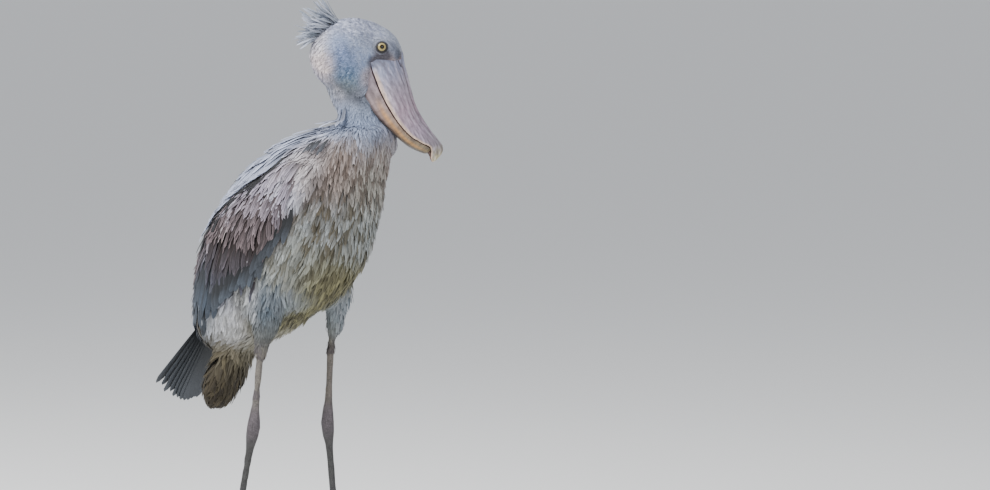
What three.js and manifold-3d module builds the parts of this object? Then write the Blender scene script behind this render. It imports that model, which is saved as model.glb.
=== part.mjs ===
// A life-size shoebill that stands still with its left foot forward. Its body is upright, its head is
// turned to its left, and its bill points down past its breast. The bird faces +X, its right side is
// at -Y, +Z is up and its soles are at z = 0. All sizes are in millimetres.

import * as THREE from "three";
import { mergeVertices } from "three/addons/utils/BufferGeometryUtils.js";
import Module from "manifold-3d";

const wasm = await Module();
wasm.setup();

// Driving dimensions
const BILL_LENGTH = 212; // from the forehead feathers to the hook's point
const BILL_DROP = THREE.MathUtils.degToRad(63); // the bill's axis below the horizontal
const HEAD_TURN = THREE.MathUtils.degToRad(35); // the head's turn to the bird's left
const HEAD_AT = [167, 8, 913]; // the middle of the face, level with the gape
const BILL_AT = [48.6, 0, 7.5]; // where the bill's axis starts, in the head's own frame
const ANKLE_HEIGHT = 230;
const FOOT_HEIGHT = 18; // where the foot bone meets the toes
const STANCE_HALF_WIDTH = 75;
const FOOT_TURN = THREE.MathUtils.degToRad(8); // each foot's turn outwards
const CLAW_LENGTH = 20;
const EYE_RADIUS = 12.5;
const GAP = 0.3; // between pieces that touch
const BIRD_SHIFT = [-24, 0, 0]; // puts the origin under the middle of the whole bird

const RIGHT = -1;
const LEFT = 1;
const SIDE_NAMES = new Map([
  [RIGHT, "right"],
  [LEFT, "left"],
]);
const UP = new THREE.Vector3(0, 0, 1);

// Curves and closed shapes

// Smooth curves through the rows of a table, whose first column is the place along the piece.
function track(rows) {
  const spline = new THREE.CubicInterpolant(
    rows.map((row) => row[0]),
    rows.flatMap((row) => row.slice(1)),
    rows[0].length - 1,
  );
  return (place) => Array.from(spline.evaluate(place));
}

// A share from 0 to 1 that rounds off a piece's ends, over the given lengths.
function fullness(place, first, last, startRound, endRound) {
  const fromStart = startRound > 0 ? Math.abs(place - first) / startRound : 1;
  const fromEnd = endRound > 0 ? Math.abs(last - place) / endRound : 1;
  const nearest = Math.min(fromStart, fromEnd, 1);
  return Math.sqrt(1 - (1 - nearest) ** 2);
}

// One closed outline around `at`: an oval between a circle (power 2) and a soft box (power over 3).
// Its first point lies at the side, or `offset` steps past it.
function ovalRing({ at, side, up, wide, high, power = 2, offset = 0 }, around) {
  const ring = [];
  for (let i = 0; i < around; i++) {
    const turn = (2 * Math.PI * (i + offset)) / around;
    const across = Math.sign(Math.cos(turn)) * Math.abs(Math.cos(turn)) ** (2 / power);
    const upward = Math.sign(Math.sin(turn)) * Math.abs(Math.sin(turn)) ** (2 / power);
    ring.push(
      new THREE.Vector3(...at)
        .addScaledVector(side, across * wide)
        .addScaledVector(up, upward * high),
    );
  }
  return ring;
}

function middleOf(ring) {
  return ring.reduce((sum, point) => sum.add(point), new THREE.Vector3()).divideScalar(ring.length);
}

// A closed surface through rings of equal length, each end closed on its middle point.
function skinOver(rings) {
  const around = rings[0].length;
  const points = rings.flat();
  const index = [];
  for (let r = 0; r + 1 < rings.length; r++) {
    for (let i = 0; i < around; i++) {
      const a = r * around + i;
      const b = r * around + ((i + 1) % around);
      index.push(a, b, b + around, a, b + around, a + around);
    }
  }
  const startPole = points.push(middleOf(rings[0])) - 1;
  const endPole = points.push(middleOf(rings.at(-1))) - 1;
  const lastRing = (rings.length - 1) * around;
  for (let i = 0; i < around; i++) {
    const next = (i + 1) % around;
    index.push(startPole, next, i);
    index.push(endPole, lastRing + i, lastRing + next);
  }
  let volume = 0;
  for (let i = 0; i < index.length; i += 3) {
    const [a, b, c] = [points[index[i]], points[index[i + 1]], points[index[i + 2]]];
    volume += a.dot(b.clone().cross(c));
  }
  if (volume < 0) index.reverse();
  const geometry = new THREE.BufferGeometry().setFromPoints(points);
  geometry.setIndex(index);
  return geometry;
}

// A loft along a table: ringAt(values, place, share) gives the outline at each place. Its two ends are
// moved apart by `grow`, for a copy that's larger all round.
function loft({ rows, rings, startRound = 0, endRound = 0, grow = 0 }, ringAt) {
  const values = track(rows);
  const first = rows[0][0];
  const last = rows.at(-1)[0];
  const way = Math.sign(last - first);
  const start = first + way * 0.1 * startRound;
  const end = last - way * 0.1 * endRound;
  const outlines = [];
  for (let r = 0; r < rings; r++) {
    const even = r / (rings - 1);
    const eased = 0.5 - 0.5 * Math.cos(Math.PI * even);
    const place = start + (end - start) * (0.4 * eased + 0.6 * even);
    outlines.push(ringAt(values(place), place, fullness(place, first, last, startRound, endRound)));
  }
  for (const [outline, next] of [outlines.slice(0, 2), outlines.slice(-2).reverse()]) {
    const away = middleOf(outline).sub(middleOf(next)).setLength(grow);
    for (const point of outline) point.add(away);
  }
  return skinOver(outlines);
}

// A limb along points that a table gives as x, y, z and then its half-width and half-depth.
function limb({ rows, rings, around, startRound = 0, endRound = 0, forward = [1, 0, 0] }, grow = 0) {
  const values = track(rows);
  const step = (rows.at(-1)[0] - rows[0][0]) / 200;
  return loft({ rows, rings, startRound, endRound, grow }, ([x, y, z, wide, deep], place, share) => {
    const [ax, ay, az] = values(Math.max(rows[0][0], place - step));
    const [bx, by, bz] = values(Math.min(rows.at(-1)[0], place + step));
    const along = new THREE.Vector3(bx - ax, by - ay, bz - az).normalize();
    const side = new THREE.Vector3().crossVectors(along, new THREE.Vector3(...forward)).normalize();
    const up = new THREE.Vector3().crossVectors(side, along).normalize();
    return ovalRing(
      { at: [x, y, z], side, up, wide: wide * share + grow, high: deep * share + grow },
      around,
    );
  });
}

// Joining and cutting

function solidOf(geometry) {
  const bare = geometry.clone();
  for (const name of Object.keys(bare.attributes)) {
    if (name !== "position") bare.deleteAttribute(name);
  }
  const merged = mergeVertices(bare, 1e-4);
  return new wasm.Manifold(
    new wasm.Mesh({
      numProp: 3,
      vertProperties: new Float32Array(merged.attributes.position.array),
      triVerts: new Uint32Array(merged.index.array),
    }),
  );
}

function geometryOf(solid) {
  const biggest = solid.decompose().reduce((a, b) => (b.volume() > a.volume() ? b : a));
  const { vertProperties, triVerts } = biggest.getMesh();
  const geometry = new THREE.BufferGeometry();
  geometry.setAttribute("position", new THREE.BufferAttribute(Float32Array.from(vertProperties), 3));
  geometry.setIndex(new THREE.BufferAttribute(Uint32Array.from(triVerts), 1));
  return geometry;
}

// The geometry less its cutters, all in the same frame
function cut(geometry, ...cutters) {
  const rest = cutters.flat().reduce((solid, cutter) => solid.subtract(solidOf(cutter)), solidOf(geometry));
  return geometryOf(rest);
}

function join(geometries) {
  return geometryOf(geometries.map((g) => solidOf(g)).reduce((a, b) => a.add(b)));
}

function moved(geometry, matrix) {
  return geometry.clone().applyMatrix4(matrix);
}

// Materials

const finish = (color, roughness) => new THREE.MeshStandardMaterial({ color, roughness, metalness: 0 });
const greyPlumage = finish(0x8d8f98, 0.85);
const brownPlumage = finish(0x84796f, 0.88);
const headPlumage = finish(0x8f97a6, 0.8);
const slatePlumage = finish(0x4b4d55, 0.7);
const horn = finish(0xa79a94, 0.45);
const paleHorn = finish(0xb9a58f, 0.45);
const bareSkin = finish(0x605a63, 0.6);
const claw = finish(0x2e2b2d, 0.4);
const eye = finish(0xb99b4e, 0.12);

const bird = new THREE.Group();
bird.position.set(...BIRD_SHIFT);

function addTo(group, name, geometry, material) {
  const mesh = new THREE.Mesh(geometry, material);
  mesh.name = name;
  group.add(mesh);
}

// Trunk: level slices of the feathered body, from the neck's foot down to the vent

const TRUNK_ROWS = [
  // height (counted down), middle x, half-length, half-width
  [-808, 176, 46, 47],
  [-780, 147, 88, 76],
  [-744, 105, 122, 98],
  [-716, 79, 139, 109],
  [-669, 52, 156, 117],
  [-598, 24, 167, 122],
  [-520, -6, 162, 117],
  [-464, -39, 134, 104],
  [-417, -79, 100, 86],
  [-380, -109, 70, 62],
  [-352, -127, 42, 38],
];

const trunkTrack = track(TRUNK_ROWS);
const TRUNK_POWER = 2.15;
const TRUNK_TOP_ROUND = 26;
const TRUNK_END_ROUND = 34;

function trunkShape(grow = 0) {
  const body = { rows: TRUNK_ROWS, rings: 18, startRound: TRUNK_TOP_ROUND, endRound: TRUNK_END_ROUND, grow };
  return loft(body, ([x, long, wide], place, share) =>
    ovalRing(
      {
        at: [x, 0, -place],
        side: new THREE.Vector3(1, 0, 0),
        up: new THREE.Vector3(0, 1, 0),
        wide: long * share + grow,
        high: wide * share + grow,
        power: TRUNK_POWER,
      },
      22,
    ),
  );
}

// The place on the trunk's surface that lies level with a point and straight out from the trunk's middle
function onTrunk(point) {
  const [x, long, wide] = trunkTrack(-point.z);
  const share = fullness(-point.z, TRUNK_ROWS[0][0], TRUNK_ROWS.at(-1)[0], TRUNK_TOP_ROUND, TRUNK_END_ROUND);
  const [forward, out] = [(point.x - x) / (long * share), point.y / (wide * share)];
  const reach = (Math.abs(forward) ** TRUNK_POWER + Math.abs(out) ** TRUNK_POWER) ** (1 / TRUNK_POWER);
  return new THREE.Vector3(x + (point.x - x) / reach, point.y / reach, point.z);
}

// The same place, moved off the trunk's surface by `lift`
function overTrunk(point, lift) {
  const step = 4;
  const at = onTrunk(point);
  const above = onTrunk(point.clone().add(new THREE.Vector3(0, 0, step)));
  const beside = onTrunk(new THREE.Vector3(-step * at.y, step * at.x, 0).setLength(step).add(point));
  const out = above.sub(at).cross(beside.sub(at)).normalize();
  if (out.dot(new THREE.Vector3(at.x - trunkTrack(-at.z)[0], at.y, 0)) < 0) out.negate();
  return at.addScaledVector(out, lift);
}

// Neck: a thick feathered column from the mantle up into the back of the head

const NECK_ROWS = [
  // height, x, y, half-length fore and aft, half-width
  [762, 166, 0, 28, 30],
  [790, 174, 2, 39, 41],
  [815, 170, 4, 43, 44],
  [840, 153, 6, 44, 43],
  [870, 136, 8, 42, 42],
  [900, 128, 10, 34, 36],
];

function neckShape(grow = 0) {
  const course = { rows: NECK_ROWS, rings: 7, startRound: 10, endRound: 14, grow };
  return loft(course, ([x, y, long, wide], place, share) =>
    ovalRing(
      {
        at: [x, y, place],
        side: new THREE.Vector3(1, 0, 0),
        up: new THREE.Vector3(0, 1, 0),
        wide: long * share + grow,
        high: wide * share + grow,
      },
      16,
    ),
  );
}

// Head: upright slices from the nape to the forehead. It is built facing +X about the middle of the face.

const HEAD_ROWS = [
  // forward, top, bottom, half-width
  [-96, 36, -12, 22],
  [-86, 46, -26, 32],
  [-75, 57, -38, 40],
  [-56, 71, -48, 48],
  [-28, 81, -58, 54],
  [0, 80, -74, 54],
  [20, 75, -84, 50],
  [42, 65, -62, 45],
  [58, 54, -30, 40],
  [72, 38, -2, 30],
  [79, 28, 8, 20],
];

const CROWN_TAPER = 0.12;

function headShape(grow = 0) {
  const course = { rows: HEAD_ROWS, rings: 12, startRound: 16, endRound: 14, grow };
  return loft(course, ([top, bottom, wide], place, share) => {
    const middle = (top + bottom) / 2;
    const half = ((top - bottom) / 2) * share + grow;
    const ring = ovalRing(
      {
        at: [place, 0, middle],
        side: new THREE.Vector3(0, 1, 0),
        up: UP,
        wide: wide * share + grow,
        high: half,
        power: 2.25,
      },
      20,
    );
    // The crown is narrower than the cheeks.
    for (const point of ring) point.y *= 1 - (CROWN_TAPER * (point.z - middle)) / half;
    return ring;
  });
}

// Bill: built along +X from the forehead, with +Z out of the culmen, and then tilted down

// The height of the mouth's line above the bill's axis
const MOUTH_ROWS = [
  [-24, -27],
  [0, -33],
  [28, -37],
  [60, -39],
  [95, -38],
  [128, -34],
  [150, -28.5],
  [172, -20],
  [190, -9],
  [200, -2],
  [214, 6],
];
const mouthLine = track(MOUTH_ROWS);

const UPPER_BILL_ROWS = [
  // along, culmen's height, half-width
  [-6, 30, 39],
  [4, 31, 42],
  [24, 25, 46],
  [50, 20, 49.5],
  [79, 16, 51],
  [108, 13, 50],
  [140, 10.5, 45],
  [165, 12.5, 37],
  [182, 14.5, 28],
  [194, 14, 19],
  [204, 6, 11],
  [212, -8, 5],
];

// Half of the upper bill's section: shares of its half-width and height, from the culmen's ridge to the edge
const UPPER_SECTION = [
  [0, 1],
  [0.09, 0.985],
  [0.17, 0.9],
  [0.36, 0.83],
  [0.58, 0.7],
  [0.78, 0.48],
  [0.93, 0.22],
  [1, 0.02],
];

const HOOK_START = 186; // where along the bill the hook begins
const HOOK_DROP = 8; // how far the hook's edge leaves the mouth's line
const PALATE_RISE = 5; // the palate's rise between the edges

function upperBillShape(grow = 0) {
  return loft({ rows: UPPER_BILL_ROWS, rings: 13, grow }, ([culmen, wide], place) => {
    const hook = Math.max(0, place - HOOK_START) / (BILL_LENGTH - HOOK_START);
    const edge = mouthLine(Math.min(place, HOOK_START))[0] - HOOK_DROP * hook ** 0.7;
    const roof = PALATE_RISE * (1 - hook);
    const tall = culmen - edge;
    const point = (across, upward) =>
      new THREE.Vector3(place, across * (wide + grow), edge + upward * tall + Math.sign(upward - 0.5) * grow);
    const rightSide = UPPER_SECTION.map(([across, upward]) => point(-across, upward));
    const leftSide = UPPER_SECTION.slice(1)
      .reverse()
      .map(([across, upward]) => point(across, upward));
    const palate = [-0.86, -0.45, 0, 0.45, 0.86].map(
      (across) =>
        new THREE.Vector3(
          place,
          across * (wide + grow),
          edge + roof * Math.min(1, 3 * (1 - Math.abs(across))) - grow,
        ),
    );
    return [...rightSide, ...palate, ...leftSide];
  });
}

const LOWER_BILL_ROWS = [
  // along, lower edge's height, half-width
  [-6, -58, 41],
  [28, -72, 45],
  [60, -74, 47.5],
  [94, -68, 47.5],
  [129, -55, 43.5],
  [152, -42, 37],
  [172, -30, 28],
  [186, -20, 18],
  [195, -11, 8],
];

// Half of the lower bill's section, from its edge to the keel
const LOWER_SECTION = [
  [1, 0],
  [0.985, 0.3],
  [0.93, 0.58],
  [0.8, 0.8],
  [0.55, 0.95],
  [0.25, 1],
];

function lowerBillShape(grow = 0) {
  return loft({ rows: LOWER_BILL_ROWS, rings: 10, grow }, ([bottom, wide], place) => {
    const edge = mouthLine(place)[0] - GAP;
    const deep = edge - bottom;
    const point = (across, downward) =>
      new THREE.Vector3(
        place,
        across * (wide + grow),
        edge - downward * deep + (downward > 0.5 ? -grow : grow),
      );
    const rightSide = LOWER_SECTION.map(([across, downward]) => point(-across, downward));
    const leftSide = LOWER_SECTION.slice()
      .reverse()
      .map(([across, downward]) => point(across, downward));
    const floor = [0.5, 0, -0.5].map((across) => point(across, 0));
    return [...rightSide, ...leftSide, ...floor];
  });
}

const billMatrix = new THREE.Matrix4()
  .makeTranslation(...BILL_AT)
  .multiply(new THREE.Matrix4().makeRotationY(BILL_DROP));
const headMatrix = new THREE.Matrix4()
  .makeTranslation(...HEAD_AT)
  .multiply(new THREE.Matrix4().makeRotationZ(HEAD_TURN));

// Eyes: balls set into the sides of the face

const EYE_AT = { forward: 38, out: 34, up: 26 };

function eyeShape(side, grow = 0) {
  const ball = new THREE.SphereGeometry(EYE_RADIUS + grow, 12, 7);
  return ball.translate(EYE_AT.forward, side * EYE_AT.out, EYE_AT.up);
}

// Crest: a short tuft of narrow plumes on the back of the crown

const CREST_PLUMES = [
  // length, rise, sideways lean
  { reach: 58, rise: 32, lean: 0 },
  { reach: 48, rise: 46, lean: -7 },
  { reach: 62, rise: 20, lean: 9 },
  { reach: 56, rise: 8, lean: -8 },
];

function crestShape() {
  const plumes = CREST_PLUMES.map(({ reach, rise, lean }) =>
    limb({
      rows: [
        [0, -32, 0, 66, 15, 11],
        [0.35, -32 - 0.4 * reach, 0.3 * lean, 66 + 0.3 * rise, 11, 8],
        [0.7, -32 - 0.75 * reach, 0.7 * lean, 66 + 0.62 * rise, 6, 4],
        [1, -32 - reach, lean, 66 + rise, 1.2, 1],
      ],
      rings: 5,
      around: 6,
      forward: [0, 0, 1],
    }),
  );
  return join(plumes);
}

// Wings: each a folded wing that hugs the trunk from the shoulder to the rump

const WING_ROWS = [
  // place, middle x, middle y, middle z, half-chord, thickness over the trunk
  [0, 142, 90, 724, 12, 6],
  [0.08, 127, 97, 706, 34, 10],
  [0.22, 95, 103, 677, 58, 14],
  [0.38, 48, 106, 636, 71, 16],
  [0.54, -2, 104, 594, 75, 16],
  [0.68, -52, 95, 547, 73, 15],
  [0.8, -98, 82, 497, 64, 12],
  [0.9, -135, 66, 448, 47, 10],
  [0.96, -157, 54, 411, 30, 8],
  [1, -172, 46, 386, 13, 6],
];
const WING_EDGE = 7; // the thickness of the wing's rim over the trunk
const ROOT_DEPTH = 3; // how far a plumed piece reaches into the trunk before it's cut
const wingTrack = track(WING_ROWS);

// A ring of points round a plate that lies on the trunk, at `at`, `wide` to each side along `across`
function plateRing({ at, across, wide, thick, rim, points, grow = 0 }) {
  const outer = [];
  const inner = [];
  for (let i = 0; i < points; i++) {
    const share = (2 * i) / (points - 1) - 1;
    const crown = Math.sqrt(1 - share ** 4);
    const place = at.clone().addScaledVector(across, share * (wide + grow));
    outer.push(overTrunk(place, rim + (thick - rim) * crown + grow));
    inner.push(overTrunk(place, -ROOT_DEPTH - grow));
  }
  return [...outer, ...inner.reverse()];
}

// The direction up and back across the folded wing at a place along it
function wingDorsal(side, place) {
  const [ax, , az] = wingTrack(Math.max(0, place - 0.02));
  const [bx, , bz] = wingTrack(Math.min(1, place + 0.02));
  const [, , y] = wingTrack(place);
  const square = new THREE.Vector3(bz - az, 0, ax - bx).normalize();
  return square.setY((-0.45 * side * place * y) / 100).normalize();
}

function wingShape(side, grow = 0) {
  const plate = { rows: WING_ROWS, rings: 14, startRound: 0.06, endRound: 0.04, grow };
  return loft(plate, ([x, y, z, chord, thick], place, share) =>
    plateRing({
      at: new THREE.Vector3(x, side * y, z),
      across: wingDorsal(side, place),
      wide: chord * share,
      thick: thick * (0.5 + 0.5 * share),
      rim: WING_EDGE * (0.5 + 0.5 * share),
      points: 7,
      grow,
    }),
  );
}

// Flight feathers that show below each folded wing's lower edge, as long overlapping blades

const FLIGHT_BLADES = [
  // where on the wing each starts and ends, and how far its vane drops below the wing's edge
  { from: 0.3, to: 0.8, drop: 9 },
  { from: 0.46, to: 0.92, drop: 12 },
  { from: 0.62, to: 1, drop: 10 },
];

function flightShape(side) {
  const blades = FLIGHT_BLADES.map(({ from, to, drop }) => {
    const rows = [
      [from, 5],
      [from + 0.3 * (to - from), 16],
      [from + 0.7 * (to - from), 16],
      [to, 5],
    ];
    return loft({ rows, rings: 6 }, ([wide], place) => {
      const [x, y, z, chord] = wingTrack(place);
      const across = wingDorsal(side, place);
      const at = new THREE.Vector3(x, side * y, z).addScaledVector(across, 16 - chord - drop);
      return plateRing({ at, across, wide, thick: 5, rim: 3, points: 3 });
    });
  });
  return join(blades);
}

// Tail: a shallow arched fan of broad feathers, and the loose plumes that cover its underside

const TAIL_ROOT = [-140, 0, 440];
const TAIL_TIP = [-238, 0, 266];
const TAIL_FEATHERS = 7;
const TAIL_HALF_SPREAD = 68;
const TAIL_ROLL = 0.28; // the right side's rise, for each unit outwards

function blade({ root, tip, out, wide, thick }) {
  const along = new THREE.Vector3(...tip).sub(new THREE.Vector3(...root));
  const at = (share) => new THREE.Vector3(...root).addScaledVector(along, share).toArray();
  const rows = [
    [0, ...at(0), wide * 0.55, thick],
    [0.35, ...at(0.35), wide * 0.9, thick],
    [0.7, ...at(0.7), wide, thick * 0.8],
    [0.92, ...at(0.92), wide * 0.9, thick * 0.6],
    [1, ...at(1), wide * 0.5, thick * 0.4],
  ];
  return limb({ rows, rings: 5, around: 6, forward: out });
}

function tailShape() {
  const blades = [];
  for (let i = 0; i < TAIL_FEATHERS; i++) {
    const share = (2 * i) / (TAIL_FEATHERS - 1) - 1;
    const lift = 12 * share * share;
    const [root, tip] = [
      [TAIL_ROOT[0] + 6 * share * share, 22 * share, TAIL_ROOT[2] - 4 * share * share],
      [TAIL_TIP[0] + lift, TAIL_HALF_SPREAD * share, TAIL_TIP[2] + lift],
    ];
    for (const point of [root, tip]) {
      point[0] -= 3 * (1 - Math.abs(share)); // the middle feathers lie on the outer ones
      point[2] -= TAIL_ROLL * point[1];
    }
    blades.push(blade({ root, tip, out: [-0.86, 0.35 * share, 0.5], wide: 20, thick: 2.8 }));
  }
  return join(blades);
}

const UNDERTAIL_ROWS = [
  // place, x, y, z, half-width, half-depth
  [0, -88, 0, 410, 36, 26],
  [0.25, -108, 0, 366, 50, 35],
  [0.5, -132, 0, 324, 52, 32],
  [0.75, -150, 0, 286, 44, 24],
  [1, -163, 0, 254, 24, 9],
];

function undertailShape(grow = 0) {
  return limb(
    {
      rows: UNDERTAIL_ROWS,
      rings: 9,
      around: 14,
      startRound: 0.15,
      endRound: 0.12,
      forward: [0.87, 0, -0.5],
    },
    grow,
  );
}

// Legs: a feathered thigh, a bare shank, the ankle and the long foot bone

const LEGS = new Map([
  [
    RIGHT,
    {
      thigh: [
        // place, x, z, half-length; the shank comes out of its last row
        [0, 34, 530, 46],
        [0.3, 21, 482, 38],
        [0.6, 13, 430, 29],
        [0.8, 5, 404, 22],
        [1, -2, 366, 9.5],
      ],
      ankle: [-18, ANKLE_HEIGHT],
      foot: [-62, FOOT_HEIGHT],
    },
  ],
  [
    LEFT,
    {
      thigh: [
        [0, 76, 530, 40],
        [0.3, 70, 482, 30],
        [0.6, 67, 432, 21],
        [0.8, 61, 408, 15],
        [1, 54, 382, 9.5],
      ],
      ankle: [46, ANKLE_HEIGHT],
      foot: [66, FOOT_HEIGHT],
    },
  ],
]);

const legPoint = (side, [x, z]) => [x, side * STANCE_HALF_WIDTH, z];
const between = (a, b, share) => a.map((value, i) => value + (b[i] - value) * share);

function thighShape(side, grow = 0) {
  const rows = LEGS.get(side).thigh.map(([place, x, z, long]) => [
    place,
    ...legPoint(side, [x, z]),
    0.86 * long,
    long,
  ]);
  return limb({ rows, rings: 8, around: 12, startRound: 0.2 }, grow);
}

function shankShape(side, grow = 0) {
  const { thigh, ankle } = LEGS.get(side);
  const [top, joint] = [legPoint(side, thigh.at(-1).slice(1, 3)), legPoint(side, ankle)];
  const at = (share) => between(top, joint, share);
  return limb(
    {
      rows: [
        [0, ...between(top, joint, -0.12), 7.2, 8.6],
        [0.5, ...at(0.5), 7, 8.4],
        [0.76, ...at(0.74), 7.8, 9.6],
        [0.92, ...at(0.93), 11.6, 13.6],
        [1, ...at(1), 12.2, 14.6],
      ],
      rings: 8,
      around: 8,
    },
    grow,
  );
}

function footBoneShape(side, grow = 0) {
  const { ankle, foot } = LEGS.get(side);
  const [joint, end] = [legPoint(side, ankle), legPoint(side, foot)];
  const at = (share) => between(joint, end, share);
  return limb(
    {
      rows: [
        [0, ...at(-0.02), 12.4, 14.8],
        [0.06, ...at(0.05), 12.2, 14.6],
        [0.17, ...at(0.16), 8.2, 9.8],
        [0.5, ...at(0.5), 6.8, 8.4],
        [0.82, ...at(0.82), 7.4, 8.6],
        [0.94, ...at(0.94), 11, 10.5],
        [1, ...at(1), 11.5, 11],
      ],
      rings: 9,
      around: 8,
      endRound: 0.06,
    },
    grow,
  );
}

// Toes: long and unwebbed, flat where they stand, each with swellings at its joints and a slim claw

const TOES = [
  // turn towards the other foot in degrees, length without the claw, half-width at the root
  { name: "middle", turn: 0, length: 150, thick: 8.6, joints: 4 },
  { name: "inner", turn: 33, length: 104, thick: 7.8, joints: 3 },
  { name: "outer", turn: -30, length: 118, thick: 7.8, joints: 4 },
  { name: "hind", turn: 172, length: 66, thick: 7.2, joints: 2 },
];

function toePlace(side, toe) {
  const [x, y] = legPoint(side, LEGS.get(side).foot);
  const turn = side * (FOOT_TURN - THREE.MathUtils.degToRad(toe.turn));
  return new THREE.Matrix4().makeTranslation(x, y, 0).multiply(new THREE.Matrix4().makeRotationZ(turn));
}

function toeShape(side, toe, grow = 0) {
  const rows = [
    // place, radius and height over the ground, both as shares of the toe's thickness
    [0, 1, 1.75],
    [0.12, 1, 1.4],
    [0.3, 0.92, 0.74],
    [0.6, 0.82, 0.64],
    [0.9, 0.74, 0.58],
    [1, 0.66, 0.52],
  ];
  const shape = loft({ rows, rings: 7, startRound: 0.05, grow }, ([radius, height], place, share) => {
    const swell = 1 + 0.08 * Math.cos(2 * Math.PI * toe.joints * place);
    const r = radius * toe.thick * swell * share + grow;
    const at = [place * toe.length, 0, height * toe.thick];
    const side = new THREE.Vector3(0, 1, 0);
    const ring = ovalRing({ at, side, up: UP, wide: r, high: r * 0.95, offset: 0.5 }, 8);
    for (const point of ring) point.z = Math.max(point.z, -grow);
    return ring;
  });
  return moved(shape, toePlace(side, toe));
}

const CLAW_CLEARANCE = 0.4; // over the ground, so that the bird stands on its toes

function clawShape(side, toe) {
  const rows = [
    // along, height, radius
    [GAP, 5.6, 4.2],
    [0.35 * CLAW_LENGTH, 6.4, 3.6],
    [0.7 * CLAW_LENGTH, 4.8, 2.2],
    [CLAW_LENGTH, 1.6, 0.7],
  ];
  const shape = loft({ rows, rings: 5 }, ([height, radius], along) => {
    const ring = ovalRing(
      {
        at: [toe.length + along, 0, height],
        side: new THREE.Vector3(0, 1, 0),
        up: UP,
        wide: radius * 0.8,
        high: radius,
      },
      6,
    );
    for (const point of ring) point.z = Math.max(point.z, CLAW_CLEARANCE);
    return ring;
  });
  return moved(shape, toePlace(side, toe));
}

// Assembly

const headGroup = new THREE.Group();
headGroup.position.set(...HEAD_AT);
headGroup.rotation.z = HEAD_TURN;
bird.add(headGroup);
const billGroup = new THREE.Group();
billMatrix.decompose(billGroup.position, billGroup.quaternion, billGroup.scale);
headGroup.add(billGroup);

const bothSides = [RIGHT, LEFT];

addTo(
  headGroup,
  "head",
  cut(
    headShape(),
    moved(upperBillShape(GAP), billMatrix),
    moved(lowerBillShape(GAP), billMatrix),
    bothSides.map((side) => eyeShape(side, GAP)),
  ),
  headPlumage,
);
addTo(headGroup, "crest", cut(crestShape(), headShape(GAP)), slatePlumage);
addTo(billGroup, "bill_upper", upperBillShape(), horn);
addTo(billGroup, "bill_lower", cut(lowerBillShape(), upperBillShape(GAP)), paleHorn);
for (const side of bothSides) {
  addTo(headGroup, `eye_${SIDE_NAMES.get(side)}`, eyeShape(side), eye);
}

const headPieces = [
  headShape(GAP),
  moved(upperBillShape(GAP), billMatrix),
  moved(lowerBillShape(GAP), billMatrix),
].map((piece) => moved(piece, headMatrix));
addTo(bird, "neck", cut(neckShape(), trunkShape(GAP), headPieces), greyPlumage);
addTo(bird, "trunk", cut(trunkShape(), headPieces), brownPlumage);

for (const side of bothSides) {
  const name = SIDE_NAMES.get(side);
  addTo(bird, `wing_${name}`, cut(wingShape(side), trunkShape(GAP), neckShape(GAP)), brownPlumage);
  const flight = cut(flightShape(side), trunkShape(GAP), wingShape(side, GAP));
  addTo(bird, `flight_feathers_${name}`, flight, slatePlumage);
}

addTo(
  bird,
  "undertail",
  cut(
    undertailShape(),
    trunkShape(GAP),
    bothSides.map((side) => wingShape(side, GAP)),
  ),
  brownPlumage,
);
addTo(
  bird,
  "tail",
  cut(
    tailShape(),
    trunkShape(GAP),
    undertailShape(GAP),
    bothSides.flatMap((side) => [wingShape(side, GAP), flightShape(side)]),
  ),
  slatePlumage,
);

for (const side of bothSides) {
  const name = SIDE_NAMES.get(side);
  addTo(
    bird,
    `thigh_${name}`,
    cut(thighShape(side), trunkShape(GAP), undertailShape(GAP), wingShape(side, GAP)),
    greyPlumage,
  );
  const shank = cut(shankShape(side), thighShape(side, GAP), footBoneShape(side, GAP));
  addTo(bird, `shank_${name}`, shank, bareSkin);
  addTo(
    bird,
    `foot_bone_${name}`,
    cut(
      footBoneShape(side),
      TOES.map((toe) => toeShape(side, toe, GAP)),
    ),
    bareSkin,
  );
  TOES.forEach((toe, i) => {
    const earlier = TOES.slice(0, i).map((other) => toeShape(side, other, GAP));
    addTo(bird, `toe_${toe.name}_${name}`, cut(toeShape(side, toe), earlier), bareSkin);
    addTo(bird, `claw_${toe.name}_${name}`, clawShape(side, toe), claw);
  });
}

export default bird;
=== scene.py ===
# The looks of a life-size shoebill that stands still: its skin, horn, eyes and every layer of its plumage.
# The bird faces +X, its left is +Y and its soles are at z = 0. Tables are in millimetres, meshes in metres.

import math

import bmesh
import bpy
import numpy as np
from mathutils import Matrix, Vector
from mathutils.bvhtree import BVHTree


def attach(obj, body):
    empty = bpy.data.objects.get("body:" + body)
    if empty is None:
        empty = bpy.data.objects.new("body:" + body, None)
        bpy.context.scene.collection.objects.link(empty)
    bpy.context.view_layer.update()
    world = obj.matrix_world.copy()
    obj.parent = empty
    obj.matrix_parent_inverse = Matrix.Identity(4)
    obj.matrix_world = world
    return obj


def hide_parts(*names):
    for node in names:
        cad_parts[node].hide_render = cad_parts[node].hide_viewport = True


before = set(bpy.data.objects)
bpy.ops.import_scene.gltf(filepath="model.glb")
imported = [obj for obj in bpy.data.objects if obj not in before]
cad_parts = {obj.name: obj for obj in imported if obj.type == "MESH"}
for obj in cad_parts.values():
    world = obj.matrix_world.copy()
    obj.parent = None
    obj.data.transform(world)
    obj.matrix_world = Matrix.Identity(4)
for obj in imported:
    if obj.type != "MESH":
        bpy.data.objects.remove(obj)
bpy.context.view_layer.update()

# Skin
# The bare body under the feathers, from inside the bill to the soles, as one surface. It lies under the
# outline of the solids by the depth of the coat, and it shows on the lids, shanks, ankles and feet.
MM = 0.001
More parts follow.
